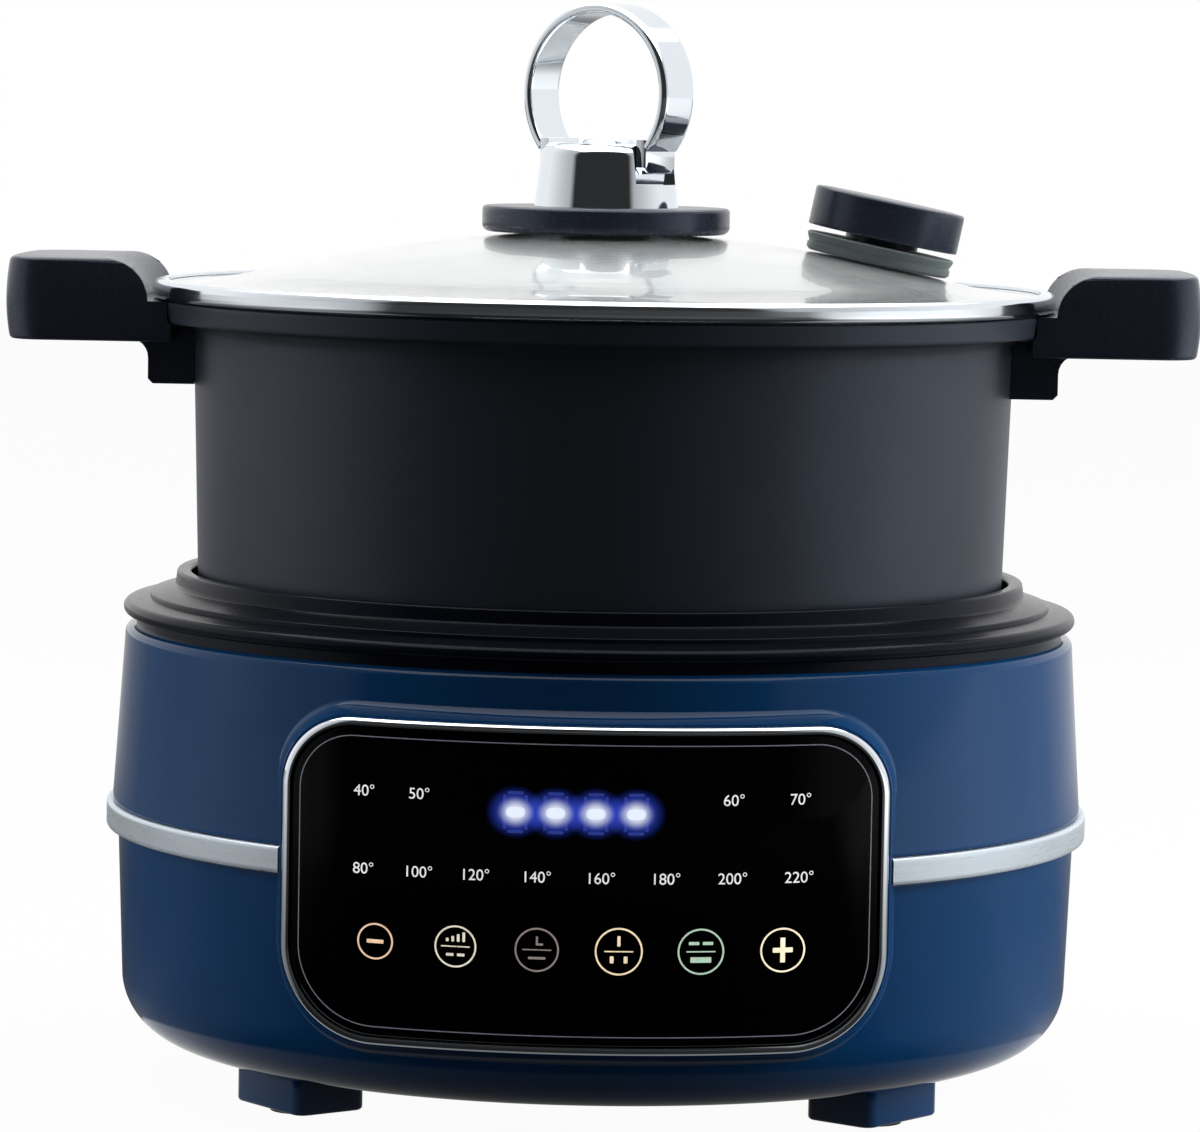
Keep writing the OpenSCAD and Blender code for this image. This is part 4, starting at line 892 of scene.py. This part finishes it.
# %% Four dashes and their unlit bars
DASH_PITCH, DASH_MID = 11.6, -2.2
DASH_X = [DASH_MID + (i - 1.5) * DASH_PITCH for i in range(4)]
lay_mark([bar(x, DASH_Z, 5.6, 3.0, 1.3) for x in DASH_X], "display_dashes", "dash_blue")
faint = []
for x in DASH_X:
    faint += [bar(x + side * 3.1, DASH_Z + up * 2.9, 1.0, 4.2, 0.4) for side in (-1, 1) for up in (-1, 1)]
    faint += [bar(x, DASH_Z + up * 5.6, 4.6, 0.9, 0.4) for up in (-1, 1)]
lay_mark(faint, "display_unlit", "dash_faint")

# %% Glow round the dashes
GLOW_Y, GLOW_BLUE, GLOW_WHITE = -0.153, (0.035, 0.07, 0.62, 1), (0.80, 0.86, 1.0, 1)
finishes["dash_glow"], net = new_paint("dash_glow", bare=True)
spot = add_node(net, "TexCoord").outputs["Object"]


def lit_up(wide, high, last, most):
    """A soft ball of light at every dash, added up and eased up to a level."""
    total = 0
    for x in DASH_X:
        feeds = {"Vector": spot, "Location": (x * MM, GLOW_Y, (DASH_Z + PANEL_Z) * MM)}
        feeds["Scale"] = (wide * MM, 1, high * MM)
        at = add_node(net, "Mapping", feeds, vector_type="TEXTURE").outputs[0]
        ball = add_node(net, "TexGradient", {"Vector": at}, gradient_type="SPHERICAL").outputs["Fac"]
        total = reckon(net, "ADD", total, ball)
    return spread(net, total, (0, last), (0, most), "SMOOTHSTEP")


tint = mixed(net, lit_up(5.8, 5.0, 0.75, 1.0), GLOW_BLUE, GLOW_WHITE, "RGBA")
glow = add_node(net, "Emission", {"Color": tint}).outputs[0]
unlit = add_node(net, "BsdfTransparent").outputs[0]
fade = add_node(net, "MixShader", {0: lit_up(9.0, 8.0, 1.0, 0.94), 1: unlit, 2: glow})
add_node(net, "OutputMaterial", {"Surface": fade.outputs[0]})
halo = plate(56, 20, 6, 6)
slice_upright(28)
everything()
move(DASH_MID, 0, DASH_Z)
mode("OBJECT")
lay_on_panel(halo, GLASS_R + 2 * MARK_PROUD)
settle(halo, "display_glow", "dash_glow", "base")

# %% [markdown]
# ## Pot
#
# The pot is pressed from sheet and coated: a straight wall with a little draft, a round bottom edge, and a rim
# that flares out over a cove and steps down inside to take the lid. It is one turned outline from the middle of
# the floor, up the outside and back down the inside.

# %% Turn the pot
POT_Z, RIM_Z, RIM_R, POT_R, LOW_R = BASE + 91.0, BASE + 229.2, 138.3, 127.4, 124.2
COVE_Z, UNDER_Z, SEAT_Z = RIM_Z - 11.7, RIM_Z - 6.7, RIM_Z - 4.4
COVE, RIM_IN_R = 5, 134.5
pot = turned(
    [(0, POT_Z)]
    + bow((LOW_R - 12, POT_Z + 12), 12, -90, 0, 8)
    + bow((POT_R + COVE, COVE_Z), COVE, 180, 90, 8)
    + bow((RIM_R - 1.7, UNDER_Z + 1), 1, -90, -8, 3)
    + bow((RIM_R - 1, RIM_Z - 1), 1, -8, 90, 4)
    + [(RIM_IN_R, RIM_Z), (RIM_IN_R, SEAT_Z), (POT_R + 1.5, SEAT_Z)]
    + bow((POT_R + 1, SEAT_Z - 4.5), 4, 120, 180, 4)
    + bow((LOW_R - 13, POT_Z + 14), 10, 0, -90, 8)
    + [(0, POT_Z + 4)],
    192,
)
settle(pot, "coated_pot", "pot_coating", "pot", "pot")

# %% [markdown]
# ## Side handles
#
# Each handle is a thick moulded grip that stands on a bracket at the pot's wall. The grip starts as a plane
# with rounded corners, is drawn up, gets soft edges all round and a slightly bowed end. The pot's wall, the
# lid's way with its round turn, and the hollow for the fingers are cut out of it. A boolean leaves knife-sharp
# edges, so the one that shows most is bevelled afterwards. The left handle is a mirror copy.

# %% Grip block
HANDLE_X, HANDLE_TOP, GRIP_Z, GRIP_W = 184.5, RIM_Z + 12.8, RIM_Z - 12.4, 80.0
ROOT_X, END_BOW, END_CROWN, PLAN_CORNER = 131.4, 2.5, 1.6, 11
half_h = (HANDLE_TOP - GRIP_Z) / 2
grip = begin("plane", size=1)
bpy.ops.transform.resize(value=((HANDLE_X - END_BOW - ROOT_X) * MM, GRIP_W * MM, 1))
move((HANDLE_X - END_BOW + ROOT_X) / 2, 0, GRIP_Z)
pick("verts", lambda m, v: m.x > (HANDLE_X + ROOT_X) / 2)
bevel(PLAN_CORNER, 10, affect="VERTICES")
everything()
draw_out(0, 0, 2 * half_h)
pick("edges", lambda m, e: abs(e.verts[0].co.z - e.verts[1].co.z) < 1e-6)
bevel(1.2, 4)
for i in range(-6, 7):
    everything()
    bpy.ops.mesh.bisect(plane_co=(0, i * 6 * MM, 0), plane_no=(0, 1, 0))
    everything()
    bpy.ops.mesh.bisect(plane_co=(0, 0, (GRIP_Z + half_h + i * 1.7) * MM), plane_no=(0, 0, 1))
close(grip)
for v in grip.data.vertices:
    along = max(0, (v.co.x / MM - ROOT_X) / (HANDLE_X - ROOT_X))
    aside = min(1, abs(v.co.y) / (GRIP_W / 2 * MM))
    off = (v.co.z / MM - GRIP_Z) / half_h - 1
    v.co.x += (END_BOW * along * (1 - aside**2) - END_CROWN * along**6 * off**2) * MM
print("grip reaches", round(max(v.co.x for v in grip.data.vertices) / MM, 1), "mm")

# %% Bracket under the grip
BRACKET_Z, BRACKET_X, BRACKET_IN, BRACKET_W, BRACKET_TURN = GRIP_Z - 13.9, 140.6, 118, 33.4, 6
side = [(BRACKET_IN, BRACKET_Z), (BRACKET_X - 1.5, BRACKET_Z), (BRACKET_X, BRACKET_Z + 1.5)]
side += bow((BRACKET_X + BRACKET_TURN, GRIP_Z - BRACKET_TURN), BRACKET_TURN, 180, 90, 6)
side += [(BRACKET_X + BRACKET_TURN, GRIP_Z + 4), (BRACKET_IN, GRIP_Z + 4)]
bracket = strung([(x, -BRACKET_W / 2, z) for x, z in side])
bpy.ops.mesh.edge_face_add()
everything()
draw_out(0, BRACKET_W, 0)
combine(grip, close(bracket), "UNION")
print("grip and bracket:", len(grip.data.polygons), "faces")

# %% Cut the pot and the lid's way out of it
FIT, LID_WAY_R, LID_TURN = 0.15, 144.2, 12.4
pot_cutter = turned(
    [(0, BRACKET_Z - 21), (126.55, BRACKET_Z - 21)]
    + bow((POT_R + COVE, COVE_Z), COVE - FIT, 180, 90, 8)
    + [(RIM_R - 0.85, UNDER_Z - FIT), (RIM_R + FIT, UNDER_Z + 0.85)]
    + [(RIM_R + FIT, RIM_Z + 0.2), (0, RIM_Z + 0.2)],
    256,
)
combine(grip, pot_cutter)
lid_cutter = turned(
    [(0, RIM_Z), (LID_WAY_R, RIM_Z)]
    + bow((LID_WAY_R + LID_TURN, HANDLE_TOP - LID_TURN), LID_TURN, 180, 92, 12)
    + [(LID_WAY_R + LID_TURN, HANDLE_TOP + 3), (0, HANDLE_TOP + 3)],
    256,
)
combine(grip, lid_cutter)
print("handle cut to the pot:", len(grip.data.polygons), "faces")

# %% Cut the finger hollow and the screw's way
HOLLOW_W, HOLLOW_L, HOLLOW_X, HOLLOW_H = 25.9, 62, 165.55, 20.2
HEAD_X, HEAD_R, HEAD_H = 134.0, 4.15, 4.4
hollow = lying(HOLLOW_W, HOLLOW_L, 10, 6)
move(HOLLOW_X, 0, GRIP_Z - 1)
draw_out(0, 0, HOLLOW_H)
pick("edges", lambda m, e: all(v.co.z > GRIP_Z * MM for v in e.verts))
bevel(3, 4)
combine(grip, close(hollow))
head_way = begin("cylinder", vertices=40, radius=HEAD_R * MM, depth=HEAD_H * MM,
                 location=(HEAD_X * MM, 0, BRACKET_Z * MM))
combine(grip, close(head_way))
print("handle cut for fingers and screw:", len(grip.data.polygons), "faces")

# %% Break the sharp edge along the lid's way
mode("EDIT")
everything()
bpy.ops.mesh.remove_doubles(threshold=0.08 * MM)
bpy.ops.mesh.dissolve_limited(angle_limit=radians(0.4))
pick("edges", lambda m, e: abs(m.y) > GRIP_W / 2 - 1.3 and m.x < LID_WAY_R + 8 and m.z > RIM_Z + 0.6
     and e.calc_face_angle(0) > radians(40))
bevel(0.6, 3, clamp_overlap=False)
mode("OBJECT")
smooth(grip, 32)
print("handle:", len(grip.data.polygons), "faces")

# %% Right handle and its mirror copy
other = copy_of(grip)
other.data.transform(Matrix.Scale(-1, 4, (1, 0, 0)))
other.data.flip_normals()
settle(grip, "grip_right", "bakelite_black", "pot", "handle_right")
settle(other, "grip_left", "bakelite_black", "pot", "handle_left")

# %% [markdown]
# ## Glass lid and its steel rim
#
# The lid is four millimetres of tempered glass: a flat dome that flares into a flat edge, held in a rolled
# steel channel with a skirt that drops into the pot. Glass shows every kink, so both faces of the dome are arcs
# of many points, turned in fine steps.

# %% Turn the glass
GLASS_Z, GLASS_TOP, EDGE_GLASS_R, FLARE_R = RIM_Z + 1.25, RIM_Z + 5.25, 139.25, 134.85
DOME_R, DOME_EDGE_R, KNOB_HOLE = 430.0, 108.4, 4.0
dome_slope = asin(DOME_EDGE_R / DOME_R)
flare_round = (FLARE_R - DOME_EDGE_R) / sin(dome_slope)
APEX = GLASS_TOP + (DOME_R + flare_round) * (1 - cos(dome_slope))
slope = degrees(dome_slope)


def dome_line(z):
    """One face of the glass, from its hole to its edge, at a height of the flat edge."""
    first = 90 - degrees(asin(KNOB_HOLE / DOME_R))
    return (
        bow((0, z + APEX - GLASS_TOP - DOME_R), DOME_R, first, 90 - slope, 24)
        + bow((FLARE_R, z + flare_round), flare_round, 270 - slope, 270, 12)[1:]
        + [(EDGE_GLASS_R, z)]
    )


lid = turned(dome_line(GLASS_TOP) + dome_line(GLASS_Z)[::-1], 256)
settle(lid, "clear_dome", "lid_glass", "lid", "lid_glass")
print("dome apex at", round(APEX, 2), "mm")

# %% Roll the steel rim
LID_Z, LID_R, RIM_T, DROP_R, DROP = RIM_Z + 0.3, 140.2, 0.8, 133.3, 3.9
lip_top, lip_in = GLASS_TOP + 0.95, FLARE_R + 0.6
channel = turned(
    [(DROP_R - RIM_T, LID_Z - DROP), (DROP_R, LID_Z - DROP), (DROP_R, LID_Z)]
    + bow((LID_R - 1.6, LID_Z + 1.6), 1.6, -90, 0, 6)
    + bow((LID_R - 1.9, lip_top - 1.9), 1.9, 0, 90, 6)
    + [(lip_in, lip_top), (lip_in, lip_top - RIM_T), (LID_R - RIM_T, lip_top - RIM_T)]
    + [(LID_R - RIM_T, LID_Z + RIM_T), (DROP_R - RIM_T, LID_Z + RIM_T)],
    256,
)
settle(channel, "steel_rim", "rim_steel", "lid", "lid_rim")

# %% [markdown]
# ## Knob, hub and folding ring
#
# A black disc keeps the fingers off the hot glass. On it stands a chrome drum with two flats, and a chrome band
# bent into an open ring swings on a pin through them. The ring is turned lying down and then stood up; its ends
# run into blocks that lie on the flats.

# %% Black knob disc
KNOB_TOP, KNOB_R, KNOB_BORE, KNOB_CORE = APEX + 7.9, 38.5, 3.15, 14
hollow_top, hollow_r = KNOB_TOP - 4.2, KNOB_R - 5
knob = turned(
    [(KNOB_BORE, APEX + 1.2), (KNOB_CORE, APEX + 1.2), (KNOB_CORE, hollow_top), (hollow_r, hollow_top)]
    + [(hollow_r, APEX - 0.2)]
    + bow((KNOB_R - 2.4, APEX + 2.2), 2.4, -90, 0, 5)
    + bow((KNOB_R - 1.3, KNOB_TOP - 1.3), 1.3, 0, 90, 6)
    + [(KNOB_BORE, KNOB_TOP)],
    160,
)
settle(knob, "knob_disc", "bakelite_black", "lid", "knob_base")

# %% Chrome hub with two flats
HUB_TOP, HUB_R, FLAT_X, FLAT_W, FLAT_DROP = KNOB_TOP + 19.8, 22.4, 16.8, 20.1, 8.8
PIVOT_Z, RING_TURN = HUB_TOP - 3.8, Matrix.Rotation(radians(-36), 4, "Z")
hub = turned(
    [(0, KNOB_TOP), (HUB_R, KNOB_TOP)]
    + bow((16.6, HUB_TOP - 4), 4, 2, 90, 8)
    + [(8.6, HUB_TOP)]
    + bow((7.3, HUB_TOP - 0.2), 1.3, 10, 90, 4)
    + [(0, HUB_TOP + 1.1)],
    160,
)
for way in (1, -1):
    flat = begin("cube", size=1, location=(way * (FLAT_X + 10) * MM, 0, (PIVOT_Z - FLAT_DROP + 15) * MM),
                 scale=(20 * MM, FLAT_W * MM, 30 * MM))
    combine(hub, close(flat))
smooth(hub, 30)
hub.data.transform(RING_TURN)
settle(hub, "chrome_hub", "chrome", "lid", "knob_hub")

# %% Ring band, turned lying down and stood up
RING_Z, RING_R, RING_IN, RING_W = HUB_TOP + 15.3, 28.0, 24.8, 15.5
JOIN_Z, JOIN_R = PIVOT_Z + 2.5, 26.4
open_angle, half_w = degrees(asin((RING_Z - JOIN_Z) / JOIN_R)), RING_W / 2
ring = turned(
    bow((RING_IN + 1.2, -half_w + 1.2), 1.2, 180, 270, 5)
    + bow((RING_R - 1.6, -half_w + 1.6), 1.6, 270, 360, 6)
    + bow((RING_R - 1.6, half_w - 1.6), 1.6, 0, 90, 6)
    + bow((RING_IN + 1.2, half_w - 1.2), 1.2, 90, 180, 5),
    96,
    180 + 2 * open_angle,
    -open_angle,
)
ring.data.transform(Matrix.Translation((0, 0, RING_Z * MM)) @ Matrix.Rotation(pi / 2, 4, "X"))
print("ring from", round(min(v.co.z for v in ring.data.vertices) / MM, 1), "mm up")

# %% Ears on the ring's ends
EAR_X, EAR_T, EAR_TOP = 17.1, 3.6, 5
foot_w = half_w - 2
ear_line = [(-half_w, EAR_TOP), (half_w, EAR_TOP), (half_w, -3.5)]
ear_line += [(foot_w, -5.5), (-foot_w, -5.5), (-half_w, -3.5)]


def on_outside(x):
    return abs(abs(x) - EAR_X - EAR_T) < 0.01


for way in (1, -1):
    ear = strung([(way * EAR_X, y, PIVOT_Z + z) for y, z in ear_line])
    bpy.ops.mesh.edge_face_add()
    everything()
    draw_out(way * EAR_T, 0, 0)
    pick("edges", lambda m, e: m.z < PIVOT_Z + EAR_TOP - 0.1 and all(on_outside(v.co.x / MM) for v in e.verts))
    bevel(0.7, 3)
    combine(ring, close(ear), "UNION")
smooth(ring, 28)
ring.data.transform(RING_TURN)
settle(ring, "chrome_ring", "chrome", "ring", "ring_handle")

# %% Pivot pin with rounded ends
PIN_HALF, PIN_R, PIN_ROUND = 20.2, 1.6, 0.5
shank, straight = PIN_R - PIN_ROUND, PIN_HALF - PIN_ROUND
pin = turned(
    [(0, -PIN_HALF)] + bow((shank, -straight), PIN_ROUND, -90, 0, 3)
    + bow((shank, straight), PIN_ROUND, 0, 90, 3) + [(0, PIN_HALF)],
    32,
)
pin.data.transform(RING_TURN @ Matrix.Translation((0, 0, PIVOT_Z * MM)) @ Matrix.Rotation(pi / 2, 4, "Y"))
settle(pin, "ring_pin", "chrome", "lid", "pivot_pin")

# %% [markdown]
# ## Steam vent
#
# A black cap stands over a grey seat with a gap between them, and turns on the seat's stub to open or close the
# steam way. Both are turned upright and then tilted together, because they stand square to the dome.

# %% Grey seat
VENT_X, SEAT_R, SEAT_H, STUB_R, STUB_BORE, STUB_H = 84.4, 22.6, 6.0, 6, 2.5, 8
vent_tilt = asin(VENT_X / DOME_R)
VENT_Z = APEX - DOME_R * (1 - cos(vent_tilt))
stand = Matrix.Translation((VENT_X * MM, 0, VENT_Z * MM)) @ Matrix.Rotation(vent_tilt, 4, "Y")
seat = turned(
    [(STUB_BORE, -10), (7, -10), (7, 0.15), (SEAT_R - 1, 0.15), (SEAT_R, 1.0), (SEAT_R, 2.6)]
    + [(SEAT_R - 0.4, 2.85), (SEAT_R - 0.4, 3.1)]
    + bow((SEAT_R - 0.2, SEAT_H - 0.7), 0.7, -20, 90, 4)
    + [(STUB_R, SEAT_H), (STUB_R, SEAT_H + STUB_H), (STUB_BORE, SEAT_H + STUB_H)],
    128,
)
seat.data.transform(stand)
settle(seat, "grey_seat", "vent_grey", "lid", "vent_seat")

# %% Black cap with its steam way
VENT_R, CAP_BORE, CAP_H = 23.5, 6.3, 14.4
cap = turned(
    [(CAP_BORE, SEAT_H + 0.3), (11.4, SEAT_H + 0.3), (11.4, SEAT_H + 2)]
    + bow((VENT_R - 0.5, SEAT_H + 2.5), 0.5, -90, 0, 4)
    + bow((VENT_R - 1.0, SEAT_H + 13.2), 1.0, 0, 80, 5)
    + [(VENT_R - 3, SEAT_H + CAP_H), (0, SEAT_H + CAP_H), (0, SEAT_H + 11), (CAP_BORE, SEAT_H + 11)],
    128,
)
way = begin("cylinder", vertices=24, radius=0.9 * MM, depth=52 * MM, location=(0, 0, (SEAT_H + 8.45) * MM),
            rotation=(0, pi / 2, 0))
combine(cap, close(way))
smooth(cap)
cap.data.transform(stand)
settle(cap, "vent_top", "bakelite_black", "vent", "vent_cap")

# %% [markdown]
# ## Spring under the sensor
#
# In the middle of the heating plate the pot pushes a small sensor down against a coil spring. The spring could
# stay as packed, but then the sensor would sink into it.

# %% Wind the sensor spring
WIRE_R, COIL_R, TURNS = 0.9, 9.0, 5
low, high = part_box("sensor_spring")
spring_h = high[2] - low[2]
coil = begin("circle", vertices=12, radius=WIRE_R * MM, location=(COIL_R * MM, 0, low[2] + WIRE_R * MM),
             rotation=(pi / 2, 0, 0))
mode("OBJECT")
wind = coil.modifiers.new("wind", "SCREW")
wind.iterations, wind.screw_offset = TURNS, (spring_h - 2 * WIRE_R * MM) / TURNS
wind.steps = wind.render_steps = 32
bpy.ops.object.modifier_apply(modifier=wind.name)
mode("EDIT")
everything()
bpy.ops.mesh.fill_holes(sides=0)
close(coil, 60)
settle(coil, "sensor_coil", "screw_steel", "base", "sensor_spring")
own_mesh(coil)

# %% [markdown]
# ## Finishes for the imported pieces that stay
#
# The screws, boards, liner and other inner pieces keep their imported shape. Each takes the finish of the slot
# that the record names for it, so nothing is left plain when the pot is lifted out or the base is opened.

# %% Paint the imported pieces
for row in frame["record"]["subparts"]:
    node = frame["nodes"][row["node"]]
    node.data.materials.clear()
    node.data.materials.append(finishes[row["material_slot"]])
